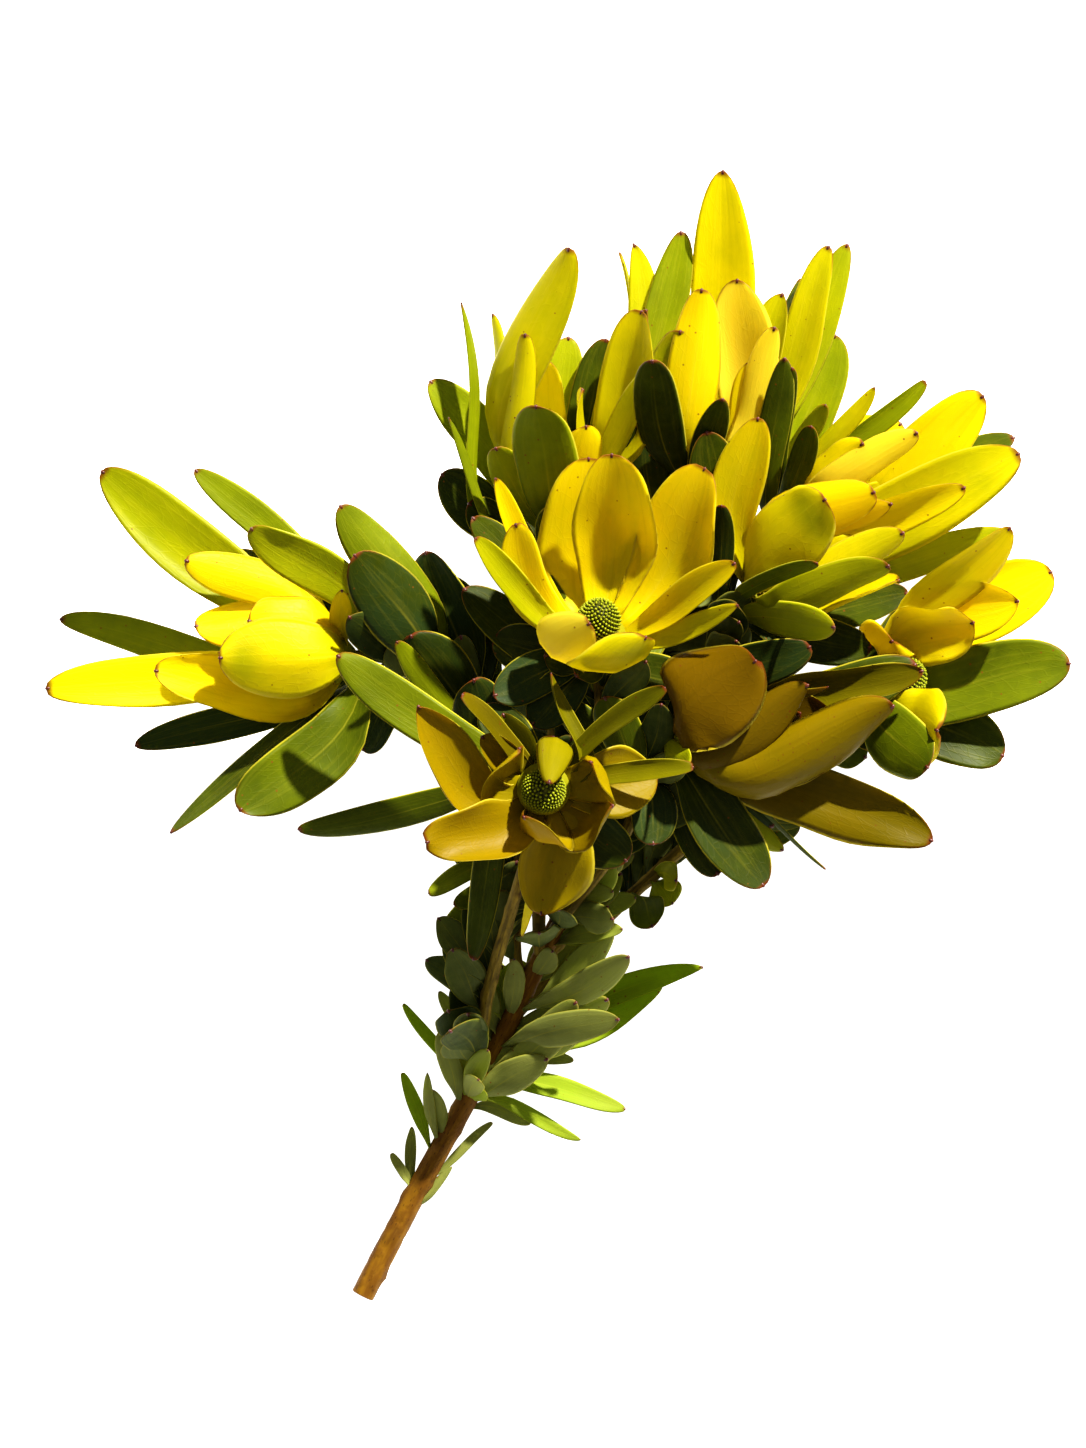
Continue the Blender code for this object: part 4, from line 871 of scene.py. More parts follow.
def stem_fill(placed, line):
    """Small leaves all round the upper part of the main stem."""
    rule = Random("stem")

    def draw(k):
        share = (k % STEM_LEAVES + rule.random()) / STEM_LEAVES
        distance = LEAFY_STEM[0] + (LEAFY_STEM[1] - LEAFY_STEM[0]) * share
        point, way = along(line, distance * MM)
        out = round_about(way, k * GOLDEN_ANGLE)
        reach = rule.uniform(*SMALL_REACH) * MM
        spread = radians(rule.uniform(*SMALL_SPREAD))
        return small_leaf(aside(point, way, out, reach, spread), rule.uniform(*SMALL_WIDTH), distance)

    return scatter(placed, "main_stem", line, None, SMALL_STATIONS, STEM_LEAVES, 3 * STEM_LEAVES, draw)


def all_blades(placed):
    """Every blade, by node: the obstacles are placed first, then the blades from the front to the back."""
    lines = {name: branch_line(name) for name in BRANCHES}
    stem = stem_line()
    placed.add("main_stem", *tube(stem, STEM_RADII, STEM_SIDES))
    for name, line in lines.items():
        placed.add("branch_" + name, *tube(line, BRANCH_RADII, BRANCH_SIDES))
        placed.add("bracts_" + name, *turned(RECEPTACLE, RECEPTACLE_SIDES, line[-1], head_axis(name), SEAT))
        placed.add("cone_" + name, *cone_solid(name, line))
    found = {}

    def put(node, facts, line, axis, stations):
        blade = place(placed, node, facts, line, axis, stations)
        found.setdefault(node, [])
        if blade:
            found[node].append(blade)

    for name, blades in BLADES.items():
        for facts in blades:
            node = ("branch_" if facts["kind"] == "leaf" else "bracts_") + name
            put(node, facts, lines[name], head_axis(name), BLADE_STATIONS)
    for name, blades in RESTING_LEAVES.items():
        for facts in blades:
            put("branch_" + name, facts, lines[name], None, BLADE_STATIONS)
    for facts in STEM_BLADES:
        put("main_stem", facts, stem, None, SMALL_STATIONS)
    for name, line in lines.items():
        found["bracts_" + name] += hidden_bracts(name, placed, line)
    for name, line in lines.items():
        found["branch_" + name] += hidden_leaves(name, placed, line)
    found["main_stem"] += stem_fill(placed, stem)
    return found


# Fine meshes

# How green each kind of blade is unless its facts say otherwise, from 0, yellow, to 1, dark green, and how
# much painted shade the bracts of the lower heads get, which also makes their edges wave and roll more. A
# blade's own green and tone vary between these bounds, and pale ones, painted paler as if lit, shaded ones
# and patched ones change by these amounts.
GREENNESS = {"cup": 0.08, "ray": 0.15, "leaf": 0.82, "small": 0.74}
# Painted shade: the bracts of these heads are painted darker, and their edges also wave and roll more.
HEAD_SHADE_AND_CRUMPLE = {"lower_front": 1.0, "lower_right": 1.3, "far_right": 0.3}
GREEN_STRAY = (-0.04, 0.04)
SHADE = (0.4, 0.6)
LIT_PALE_BY = 0.5
PAINTED_SHADE_BY = 0.45
PATCH_BY = 0.3

# A fine blade: its steps along and across, its thickness in the middle and at the rim, the depth of its
# middle groove, and the bead at its tip. Its edge waves and rolls over, its tip nods and its middle folds,
# each by a height in millimetres on a blade 20 mm wide.
STEPS_ALONG = 18
TIP_CROWDING = 1.8
ACROSS = (-1, -0.84, -0.55, -0.25, 0, 0.25, 0.55, 0.84, 1)
FINE_THICKNESS = 0.9 * MM
RIM_THICKNESS = 0.16 * MM
GROOVE = 0.22 * MM
GROOVE_WIDTH = 0.3
WAVE = (0.2, 1.1)
WAVES_ALONG = (1.2, 2.8)
NOD = (-2.4, 1.4)
FOLD = (-0.2, 1.1)
ROLLED_EDGE = (-1.6, 2.6)
ROLL_FROM = 0.45
CREASE = (0.2, 0.9)
RAGGED = 0.035
RAGS = 9
BEAD_RADIUS = 0.85 * MM
BEAD_SUNK = 0.8 * MM
BEAD_SIDES = 6
BEAD_REACH = 1.6
BEAD_BLUNT = 1.4
BEAD_RING = 0.87
PATCH_AT = 0.84
PATCH_LENGTH = 0.1
USUAL_WIDTH = 20 * MM
FULL_BEAD_WIDTH = 14 * MM
FLATTER_LEAF = 0.25


def linked(name, data):
    """An object of the scene with this mesh, light or camera."""
    made = bpy.data.objects.new(name, data)
    bpy.context.scene.collection.objects.link(made)
    return made


class Shape:
    """A mesh under construction: each corner has its place on the surface, its looks and a material."""

    def __init__(self):
        self.corners = []
        self.places = []
        self.looks = []
        self.faces = []
        self.kinds = []

    def add(self, corners, places, looks, faces, kind=0):
        first = len(self.corners)
        self.corners += corners
        self.places += places
        self.looks += looks
        self.faces += [tuple(first + n for n in face) for face in faces]
        self.kinds += [kind] * len(faces)

    def piece(self, name, materials, node=None):
        """The finished piece, riding on the part, and standing for a node of it if one is named."""
        mesh = bpy.data.meshes.new(name)
        mesh.from_pydata(self.corners, [], self.faces)
        for finish in materials:
            mesh.materials.append(finish)
        mesh.polygons.foreach_set("material_index", self.kinds)
        mesh.polygons.foreach_set("use_smooth", [True] * len(self.faces))
        layer = mesh.uv_layers.new(name="place")
        flat = [value for loop in mesh.loops for value in self.places[loop.vertex_index]]
        layer.data.foreach_set("uv", flat)
        looks = mesh.color_attributes.new("looks", "FLOAT_COLOR", "POINT")
        looks.data.foreach_set("color", [value for look in self.looks for value in (*look, 1.0)])
        mesh.validate()
        made = linked(name, mesh)
        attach(made, "root")
        if node:
            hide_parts(node)
        return made


def ring_faces(rings, sides, pointed):
    """Faces between equal rings, with the first ring closed and the last one closed or drawn to a point."""
    faces = [tuple(reversed(range(sides)))]
    faces += [(a, b, b + sides, a + sides) for a, b in neighbours(rings, sides)]
    last = (rings - 1) * sides
    if pointed:
        return faces + [(last + n, last + (n + 1) % sides, last + sides) for n in range(sides)]
    return [*faces, tuple(range(last, last + sides))]


def add_blade(shape, blade, rule, shade_and_crumple):
    """One blade's two faces, which meet in its rim, and the bead at its tip."""
    facts = blade.facts
    green = facts.get("green", GREENNESS[facts["kind"]]) + rule.uniform(*GREEN_STRAY)
    # Painted light and shade: pale raises a blade's shade, so that it is painted paler as if lit, and the
    # lower heads lower it, so that their bracts are painted darker.
    shade = rule.uniform(*SHADE) + LIT_PALE_BY * facts.get("pale", 0) - PAINTED_SHADE_BY * shade_and_crumple
    spots = facts.get("spots", 0)
    wave = rule.uniform(*WAVE) * (1 + shade_and_crumple) * MM * blade.width / USUAL_WIDTH
    waves = rule.uniform(*WAVES_ALONG)
    phases = (rule.uniform(0, 2 * pi), rule.uniform(0, 2 * pi))
    nod = rule.uniform(*NOD) * MM
    size = blade.width / USUAL_WIDTH * MM
    fold = rule.uniform(*FOLD) * size
    rolled = [rule.uniform(*ROLLED_EDGE) * (1 + shade_and_crumple) * size for _ in phases]
    groove = GROOVE
    if facts["kind"] in ("leaf", "small"):
        rolled = [FLATTER_LEAF * roll for roll in rolled]
    else:
        groove += rule.uniform(*CREASE) * size
    rag = rule.uniform(0, 2 * pi)
    corners, places, looks = [], [], []

    def corner(s, u, face):
        thick = RIM_THICKNESS / 2 + (FINE_THICKNESS - RIM_THICKNESS) / 2 * sqrt(1 - u * u)
        relief = wave * u * u * s * sin(2 * pi * waves * s + phases[u > 0]) + nod * s**3
        relief += fold * abs(u) ** 1.5 * sin(pi * s)
        relief += rolled[u > 0] * (max(0, abs(u) - ROLL_FROM) / (1 - ROLL_FROM)) ** 2 * sin(pi * s) ** 0.6
        relief -= groove * max(0, 1 - abs(u) / GROOVE_WIDTH) * (1 - s)
        reach = 1 + RAGGED * sin(RAGS * s + rag + 2 * (u > 0)) * sin(pi * s)
        corners.append(blade.point(s, u * reach, relief + face * thick))
        patch = facts.get("patch", 0) * exp(-(((s - PATCH_AT) / PATCH_LENGTH) ** 2)) * (1 - u * u)
        places.append(((u + 1) / 2, s))
        looks.append((green + PATCH_BY * patch, shade, spots))

    for k in range(STEPS_ALONG):
        s = 1 - (1 - k / STEPS_ALONG) ** TIP_CROWDING
        for u in ACROSS:
            corner(s, u, 1 if abs(u) < 1 else 0)
        for u in reversed(ACROSS[1:-1]):
            corner(s, u, -1)
    corner(1, 0, 0)
    faces = ring_faces(STEPS_ALONG, 2 * len(ACROSS) - 2, True)
    shape.add(corners, places, looks, faces, 2 if facts["kind"] == "small" else 0)
    way = bend_way(blade.curve, 1)
    size = min(1, blade.width / FULL_BEAD_WIDTH)
    add_bead(shape, corners[-1] - way * (BEAD_SUNK * size), way, size)


def add_bead(shape, centre, way, size):
    """The hard dark point of a blade: a small ball, longer than wide."""
    radius = BEAD_RADIUS * size
    outs = spokes(way, BEAD_SIDES)
    corners = [centre - way * radius * BEAD_REACH]
    for rise in (-0.5, 0.5):
        middle = centre + way * (radius * BEAD_REACH * rise)
        corners += [middle + out * (radius * BEAD_RING) for out in outs]
    corners.append(centre + way * radius * BEAD_BLUNT)
    faces = [(0, 1 + (n + 1) % BEAD_SIDES, 1 + n) for n in range(BEAD_SIDES)]
    for n in range(BEAD_SIDES):
        a, b = 1 + n, 1 + (n + 1) % BEAD_SIDES
        faces += [(a, b, b + BEAD_SIDES, a + BEAD_SIDES), (a + BEAD_SIDES, b + BEAD_SIDES, len(corners) - 1)]
    corners = [grounded(corner) for corner in corners]
    shape.add(corners, [(0.5, 1)] * len(corners), [(0, 0.5, 0)] * len(corners), faces, 1)


# The bark: its steps, its lengthwise ridges, and the knots that old leaves left on it.
BARK_STEP = 2.5 * MM
ROUNDS_OF_SMOOTHING = 4
BARK_SIDES = 24
TWIG_SIDES = 12
RIDGES = 5
RIDGE = 0.025
RIDGE_TWIST = 22 * MM
GRAIN = 3 * MM
BARK_PATTERN = 10 * MM
ROUGHNESS = 0.05
KNOT_STEP = 8.5 * MM
KNOT_RISE = 0.8 * MM
KNOT_LENGTH = 2.2 * MM
KNOT_ANGLE = 0.5
KNOTS_FROM = {"stem": 10 * MM, "branch": 12 * MM}


def smooth_line(points, step):
    """The same line in equal short steps, with its corners rounded."""
    count = int(length_of(points) / step)
    places = [along(points, length_of(points) * k / count)[0] for k in range(count + 1)]
    for _ in range(ROUNDS_OF_SMOOTHING):
        between = [(a + b * 2 + c) / 4 for a, b, c in zip(places, places[1:], places[2:])]
        places = [places[0], *between, places[-1]]
    return places


def add_bark(shape, points, radii, sides, knots_from, knots_to):
    """A rod of bark, with knots round it by the golden angle between the two distances."""
    line = smooth_line(points, BARK_STEP)
    length = length_of(line)
    knots = int(max(0, knots_to - knots_from) / KNOT_STEP)
    corners, places, looks = [], [], []
    for k, point in enumerate(line):
        distance = length * k / (len(line) - 1)
        way = (line[min(k + 1, len(line) - 1)] - line[max(k - 1, 0)]).normalized()
        side, up = square_to(way)
        radius = radii[0] + (radii[1] - radii[0]) * distance / length
        for n in range(sides + 1):
            turn = 2 * pi * n / sides - pi / 2
            out = side * cos(turn) + up * sin(turn)
            rise = RIDGE * sin(RIDGES * turn + distance / RIDGE_TWIST)
            rise += ROUGHNESS * noise.noise((point + out * radius) / GRAIN)
            scar = 0
            for knot in range(knots):
                away = (distance - knots_from - knot * KNOT_STEP) / KNOT_LENGTH
                if abs(away) < 3:
                    round_by = (turn - knot * GOLDEN_ANGLE + pi) % (2 * pi) - pi
                    near = exp(-away * away - (round_by / KNOT_ANGLE) ** 2)
                    rise += KNOT_RISE / radii[0] * near
                    scar = max(scar, exp(-((away - 0.9) ** 2) * 3 - (round_by / KNOT_ANGLE) ** 2))
            corners.append(grounded(point + out * (radius * (1 + rise))))
            places.append((n / sides, distance / BARK_PATTERN))
            looks.append((distance / length, scar, 0))
    row = sides + 1
    faces = []
    for k in range(len(line) - 1):
        for n in range(sides):
            a = k * row + n
            faces.append((a, a + 1, a + row + 1, a + row))
    shape.add(corners, places, looks, faces)
    return line


# The cut end shows its wood and pith.
CUT_RINGS = ((1.0, 0.0), (0.93, 0.35), (0.9, 0.3), (0.55, 0.2), (0.18, 0.25), (0.14, 0.0))


def add_cut_end(shape, line, radius, sides, first_way):
    """The sawn face: rings of wood from the bark in to the pith, a little uneven."""
    corners, places, looks = [], [], []
    for share, rise in CUT_RINGS:
        for n, out in enumerate(spokes(first_way, sides, -pi / 2)):
            corners.append(grounded(line[0] + out * (radius * share) - first_way * (rise * MM)))
            places.append((share, n / sides))
            looks.append((share, 0, 0))
    faces = [(a, a + sides, b + sides, b) for a, b in neighbours(len(CUT_RINGS), sides)]
    last = (len(CUT_RINGS) - 1) * sides
    faces.append(tuple(last + n for n in reversed(range(sides))))
    shape.add(corners, places, looks, faces, 1)


# The cone: its florets by the golden angle over a dome.
FLORETS = 330
FLORET_RADIUS = 0.6 * MM
FLORET_SIDES = 6
FLORET_SUNK = 0.3 * MM
FLORET_UPRIGHT = 0.35
FLORET_RINGS = ((1.0, 0.0), (1.0, 0.75), (0.62, 1.25), (0.3, 1.45))
DOME_SHARE = 0.91
DOME_RINGS = 6
DOME_SIDES = 16


def add_cone(shape, name, line):
    axis = head_axis(name)
    side, up = square_to(axis)
    foot = cone_foot(line, axis)
    radius, height = CONE_RADIUS * DOME_SHARE, CONE_HEIGHT * DOME_SHARE
    add_dome(shape, foot, axis, radius, height)
    for k in range(FLORETS):
        tilt = acos(1 - (k + 0.5) / FLORETS)
        out = side * cos(k * GOLDEN_ANGLE) + up * sin(k * GOLDEN_ANGLE)
        place = foot + axis * (height * cos(tilt)) + out * (radius * cone_outline(pi / 2 - tilt))
        way = (axis * (cos(tilt) / height) + out * (sin(tilt) / radius)).normalized()
        way = (way + axis * FLORET_UPRIGHT).normalized()
        add_floret(shape, place, way, k / FLORETS)


def add_dome(shape, foot, axis, radius, height):
    """The dark core that the florets stand on."""
    corners = []
    for ring in range(DOME_RINGS):
        tilt = pi / 2 * (1 - ring / DOME_RINGS)
        level, width = foot + axis * (height * cos(tilt)), radius * cone_outline(pi / 2 - tilt)
        corners += [level + out * width for out in spokes(axis, DOME_SIDES)]
    corners.append(foot + axis * height)
    faces = ring_faces(DOME_RINGS, DOME_SIDES, True)
    shape.add(corners, [(0, 0)] * len(corners), [(0, 0, 0)] * len(corners), faces)


def add_floret(shape, place, way, out_share):
    corners, looks = [], []
    outs = spokes(way, FLORET_SIDES)
    for share, height in FLORET_RINGS:
        level = place + way * (height * MM - FLORET_SUNK)
        corners += [level + out * (FLORET_RADIUS * share) for out in outs]
        looks += [(height / FLORET_RINGS[-1][1], out_share, 0)] * FLORET_SIDES
    faces = ring_faces(len(FLORET_RINGS), FLORET_SIDES, False)
    shape.add(corners, [(0, 0)] * len(corners), looks, faces)


def add_receptacle(shape, line, axis):
    """The green base that the bracts grow from."""
    profile = [(0.6 * radius, 0.0) for radius, _ in RECEPTACLE[:1]] + list(RECEPTACLE)
    corners, faces = turned(profile, BARK_SIDES, line[-1], axis, SEAT)
    shape.add(corners, [(0.5, 0.1)] * len(corners), [(0.45, 0.4, 0)] * len(corners), faces)


# Small leaves that only the dressed part has, on each branch and on the main stem: how many, how wide, how
# long and how green. Then how far they stray from the golden angle and spread, in radians and degrees, and
# where they start on the stem and how much of a branch's two ends they leave free.
# The branch leaves' green, near 1, makes them near black: partly their own colour and partly painted shade
# deep in the crown.
MORE_ON_BRANCH = (26, (12, 20), (22, 44), (0.85, 1))
MORE_ON_STEM = (90, (9, 15), (18, 34), (0.5, 0.86))
MORE_ASTRAY = (-0.3, 0.3)
MORE_SPREAD = (28, 62)
GOLDEN_SHARE = 0.618
MORE_FROM = 92 * MM
MORE_FREE = (8 * MM, 16 * MM)


def more_leaves(placed):
    """Small leaves along the bare lower branches and the upper stem, clear of all that stands, by node."""
    found = {}
    for node, line, first, last, (count, widths, reaches, greens) in more_places():
        rule = Random("more " + node)

        def draw(k):
            distance = first + (last - first) * ((k * GOLDEN_SHARE) % 1)
            point, way = along(line, distance)
            out = round_about(way, k * GOLDEN_ANGLE + rule.uniform(*MORE_ASTRAY))
            reach = rule.uniform(*reaches) * MM
            tip = aside(point, way, out, reach, radians(rule.uniform(*MORE_SPREAD)))
            return small_leaf(tip, rule.uniform(*widths), distance / MM, green=rule.uniform(*greens))

        found[node] = scatter(placed, node, line, None, SMALL_STATIONS, count, 4 * count, draw)
    return found


def more_places():
    """For each node that gets more leaves: its line, the stretch that they grow on, and their rule."""
    stem = stem_line()
    yield "main_stem", stem, MORE_FROM, length_of(stem), MORE_ON_STEM
    for name in BRANCHES:
        line = branch_line(name)
        yield "branch_" + name, line, MORE_FREE[0], length_of(line) - MORE_FREE[1], MORE_ON_BRANCH


# Materials


class Finish:
    """A material under construction, with a short call for each kind of node used here."""

    def __init__(self, name, roughness, specular=0.5):
        self.material = bpy.data.materials.new(name)
        self.material.use_nodes = True
        self.tree = self.material.node_tree
        self.shader = self.tree.nodes["Principled BSDF"]
        self.shader.inputs["Roughness"].default_value = roughness
        self.shader.inputs["Specular IOR Level"].default_value = specular

    def add(self, kind, values=None, **settings):
        made = self.tree.nodes.new(kind)
        for name, value in settings.items():
            setattr(made, name, value)
        for key, value in (values or {}).items():
            if isinstance(value, bpy.types.NodeSocket):
                self.tree.links.new(value, made.inputs[key])
            else:
                made.inputs[key].default_value = value
        return made

    def maths(self, operation, a, b=0.0):
        return self.add("ShaderNodeMath", {0: a, 1: b}, operation=operation).outputs[0]

    def times(self, a, b):
        return self.maths("MULTIPLY", a, b)

    def plus(self, a, b):
        return self.maths("ADD", a, b)

    def minus(self, a, b):
        return self.maths("SUBTRACT", a, b)

    def span(self, value, low, high, start=0.0, end=1.0):
        """The value's smooth way from start, at low, to end, at high."""
        limits = {"Value": value, "From Min": low, "From Max": high, "To Min": start, "To Max": end}
        return self.add("ShaderNodeMapRange", limits, interpolation_type="SMOOTHSTEP").outputs[0]

    def mix(self, share, a, b, kind="MIX"):
        made = self.add("ShaderNodeMix", {0: share, 6: a, 7: b}, data_type="RGBA", blend_type=kind)
        return made.outputs[2]

    def coats(self, colour, *coats):
        """The colour with each coat over it: how much there is of the coat, and its colour."""
        for share, tint in coats:
            colour = self.mix(share, colour, (*tint, 1))
        return colour

    def ramp(self, value, stops):
        made = self.add("ShaderNodeValToRGB", {0: value})
        points = made.color_ramp.elements
        points[0].position, points[0].color = stops[0][0], (*stops[0][1], 1)
        points[1].position, points[1].color = stops[-1][0], (*stops[-1][1], 1)
        for position, colour in stops[1:-1]:
            points.new(position).color = (*colour, 1)
        return made.outputs[0]

    def looks(self):
        made = self.add("ShaderNodeAttribute", attribute_name="looks")
        parts = self.add("ShaderNodeSeparateColor", {0: made.outputs["Color"]})
        return parts.outputs[0], parts.outputs[1], parts.outputs[2]

    def place(self):
        made = self.add("ShaderNodeUVMap", uv_map="place")
        parts = self.add("ShaderNodeSeparateXYZ", {0: made.outputs[0]})
        return parts.outputs[0], parts.outputs[1]

    def point(self):
        return self.add("ShaderNodeTexCoord").outputs["Object"]

    def vector(self, x, y, z=0.0):
        return self.add("ShaderNodeCombineXYZ", {0: x, 1: y, 2: z}).outputs[0]

    def cloud(self, where, scale, detail=2.0):
        return self.add("ShaderNodeTexNoise", {"Vector": where, "Scale": scale, "Detail": detail}).outputs[0]

    def cells(self, where, scale, feature="F1"):
        made = self.add("ShaderNodeTexVoronoi", {"Vector": where, "Scale": scale}, feature=feature)
        return made.outputs["Distance"]

    def bump(self, height, strength, distance):
        values = {"Height": height, "Strength": strength, "Distance": distance}
        made = self.add("ShaderNodeBump", values)
        self.tree.links.new(made.outputs[0], self.shader.inputs["Normal"])
        return made.outputs[0]

    def colour(self, socket):
        self.tree.links.new(socket, self.shader.inputs["Base Color"])


# A blade's colours from its yellowest to its greenest, and those of its rim, tip, spots and dry point.
# The darkest stops, from 0.8 on, are partly the leaves' own dark olive and partly painted shade for leaves
# deep in the crown.
BLADE_COLOURS = (
    (0.0, (0.86, 0.68, 0.001)),
    (0.14, (0.78, 0.68, 0.001)),
    (0.34, (0.52, 0.50, 0.001)),
    (0.58, (0.27, 0.31, 0.002)),
    (0.8, (0.10, 0.13, 0.002)),
    (0.93, (0.038, 0.052, 0.001)),
    (1.0, (0.035, 0.06, 0.012)),
)
# The small leaves' colours: greyer, as they are, and lighter in the middle, which is painted light for the
# stem's leaves. The darkest end is painted shade for the branch leaves deep in the crown.
SMALL_LIT_SHADED_COLOURS = (
    (0.0, (0.50, 0.55, 0.004)),
    (0.36, (0.30, 0.42, 0.004)),
    (0.58, (0.34, 0.40, 0.04)),
    (0.74, (0.32, 0.34, 0.08)),
    (0.88, (0.18, 0.21, 0.05)),
    (1.0, (0.05, 0.075, 0.01)),
)
RIM_COLOUR = (0.85, 0.72, 0.06)
RED_RIM = (0.22, 0.03, 0.008)
SPOT_COLOUR = (0.25, 0.08, 0.01)
# Painted light: the cream that pale bracts are painted, as if the sun lit them.
LIT_PALE_COLOUR = (0.92, 0.80, 0.08)
DARK_VEIN = (0.05, 0.08, 0.005)
# Painted shade, multiplied over the bracts of the lower heads.
PAINTED_SHADE_COLOUR = (0.2, 0.12, 0.1, 1)


def blade_finish(name, colours, roughness, translucence, net, edge):
    """Skin of a bract or leaf: greener or yellower, veined, with a pale rim that reddens at the tip."""
    made = Finish(name, roughness, 0.14)
    green, shade, spots = made.looks()
    u, s = made.place()
    point = made.point()
    broad = made.times(made.minus(made.cloud(point, 38), 0.5), 0.22)
    fine = made.times(made.minus(made.cloud(point, 260, 4), 0.5), 0.07)
    base_green = made.span(s, 0, 0.35, 0.07, 0)
    greenness = made.plus(made.plus(green, base_green), made.plus(broad, fine))
    from_middle = made.maths("ABSOLUTE", made.minus(made.times(u, 2), 1))
    seed = made.times(shade, 40)
    drift = made.plus(made.times(u, 15), made.times(from_middle, s))
    lines = made.cloud(made.vector(drift, made.times(s, 1.6), seed), 1, 3)
    vein = made.span(lines, 0.5, 0.66)
    dark_line = made.span(lines, 0.46, 0.3)
    slanted = made.minus(made.times(s, 13), made.times(from_middle, 2.6))
    web = made.cells(made.vector(made.times(u, 6), slanted, seed), 1.2, "DISTANCE_TO_EDGE")
    thread = made.span(web, 0.07, 0.0)
    colour = made.coats(
        made.ramp(greenness, colours),
        (made.times(vein, 2.4 * net), RIM_COLOUR),
        (made.times(dark_line, 0.08), DARK_VEIN),
        (made.times(thread, net), RIM_COLOUR),
        (made.times(made.span(from_middle, 0.06, 0.0), made.span(s, 0.95, 0.2, 0.0, 0.22)), RIM_COLOUR),
    )
    # Painted shade: the bracts of the lower heads are darkened.
    colour = made.mix(made.span(shade, 0.4, -0.2), colour, PAINTED_SHADE_COLOUR, "MULTIPLY")
    red = made.times(made.span(s, 0.88, 0.99), made.span(from_middle, 0.8, 0.98))
    red = made.maths("MAXIMUM", red, made.span(s, 0.972, 0.995))
    blot = made.times(made.span(made.cells(point, 420), 0.2, 0.12), spots)
    colour = made.coats(
        colour,
        # Painted light: pale bracts are painted paler, as if lit.
        (made.span(shade, 0.7, 1.0, 0.0, 0.75), LIT_PALE_COLOUR),
        (made.times(made.span(from_middle, 0.93, 0.98), edge), RIM_COLOUR),
        (made.times(red, 1.2 * edge), RED_RIM),
        (made.times(blot, made.span(made.cloud(point, 90), 0.5, 0.62)), SPOT_COLOUR),
        (made.span(made.cells(point, 160), 0.085, 0.05, 0.0, 0.7), SPOT_COLOUR),
    )
    made.colour(colour)
    height = made.plus(made.times(vein, 0.6), made.times(thread, 0.5))
    normal = made.bump(height, 0.25, 0.0003)
    glow = made.add("ShaderNodeBsdfTranslucent", {"Color": colour, "Normal": normal})
    both = made.add("ShaderNodeMixShader", {0: translucence, 1: made.shader.outputs[0], 2: glow.outputs[0]})
    made.tree.links.new(both.outputs[0], made.tree.nodes["Material Output"].inputs["Surface"])
    return made.material


def bead_finish():
    """The hard, dark red-brown point of a blade."""
    made = Finish("dark_tip", 0.4)
    made.colour(made.mix(made.cloud(made.point(), 900), (0.04, 0.008, 0.004, 1), (0.14, 0.02, 0.008, 1)))
    return made.material


# Two barks, each light, dark and flecked.
ORANGE_BARK = ((0.21, 0.10, 0.003), (0.13, 0.052, 0.002), (0.035, 0.014, 0.002))
BROWN_BARK = ((0.30, 0.20, 0.02), (0.13, 0.09, 0.01), (0.04, 0.02, 0.005))


def bark_finish(name, light, dark, fleck):
    """Bark: lengthwise streaks, dark flecks and darker scars under the knots."""
    made = Finish(name, 0.7, 0.15)
    _, scar, _ = made.looks()
    u, v = made.place()
    point = made.point()
    streaks = made.cloud(made.vector(made.times(u, 9), made.times(v, 0.8)), 1, 5)
    mottle = made.span(made.cloud(point, 130, 4), 0.52, 0.68)
    flecks = made.span(made.cells(made.vector(made.times(u, 14), v), 2.2), 0.2, 0.1)
    colour = made.coats(
        (*dark, 1),
        (made.span(streaks, 0.35, 0.68), light),
        (made.times(mottle, 0.55), dark),
        (made.times(flecks, 0.8), fleck),
        (made.times(scar, 0.85), fleck),
    )
    made.colour(colour)
    made.bump(made.plus(streaks, made.times(mottle, 0.5)), 0.5, 0.0005)
    return made.material


def cut_finish():
    """Fresh wood in rings round a pale pith."""
    made = Finish("cut_wood", 0.75, 0.3)
    share, _, _ = made.looks()
    rings = made.span(made.cloud(made.vector(made.times(share, 12), 0.0), 1), 0.4, 0.6)
    pith = (made.span(share, 0.3, 0.2), (0.85, 0.7, 0.45))
    rind = (made.span(share, 0.9, 0.95), (0.24, 0.1, 0.02))
    made.colour(made.coats((0.55, 0.33, 0.12, 1), (rings, (0.72, 0.5, 0.24)), pith, rind))
    made.bump(made.cloud(made.point(), 1500, 3), 0.4, 0.0003)
    return made.material


def floret_finish():
    """Florets: dark between them, green on their sides and paler at their points."""
    made = Finish("cone_florets", 0.6, 0.15)
    height, out_share, _ = made.looks()
    stops = ((0.0, (0.02, 0.022, 0.002)), (0.5, (0.11, 0.13, 0.004)), (1.0, (0.30, 0.33, 0.008)))
    brown = made.span(made.cloud(made.point(), 160), 0.42, 0.56)
    brown = made.times(brown, made.span(out_share, 0.45, 0.9, 0.0, 0.9))
    dust = made.span(made.cloud(made.point(), 700), 0.4, 0.7, 0.0, 0.35)
    made.colour(made.coats(made.ramp(height, stops), (brown, (0.10, 0.03, 0.006)), (dust, (0.4, 0.4, 0.03))))
    return made.material


def floor_finish():
    made = Finish("pale_floor", 0.85, 0.1)
    made.shader.inputs["Emission Color"].default_value = (1, 1, 1, 1)
    made.shader.inputs["Emission Strength"].default_value = FLOOR_GLOW
    tone = made.cloud(made.point(), 3, 2)
    made.colour(made.mix(tone, (0.90, 0.90, 0.90, 1), (0.93, 0.93, 0.93, 1)))
    return made.material


# The stage

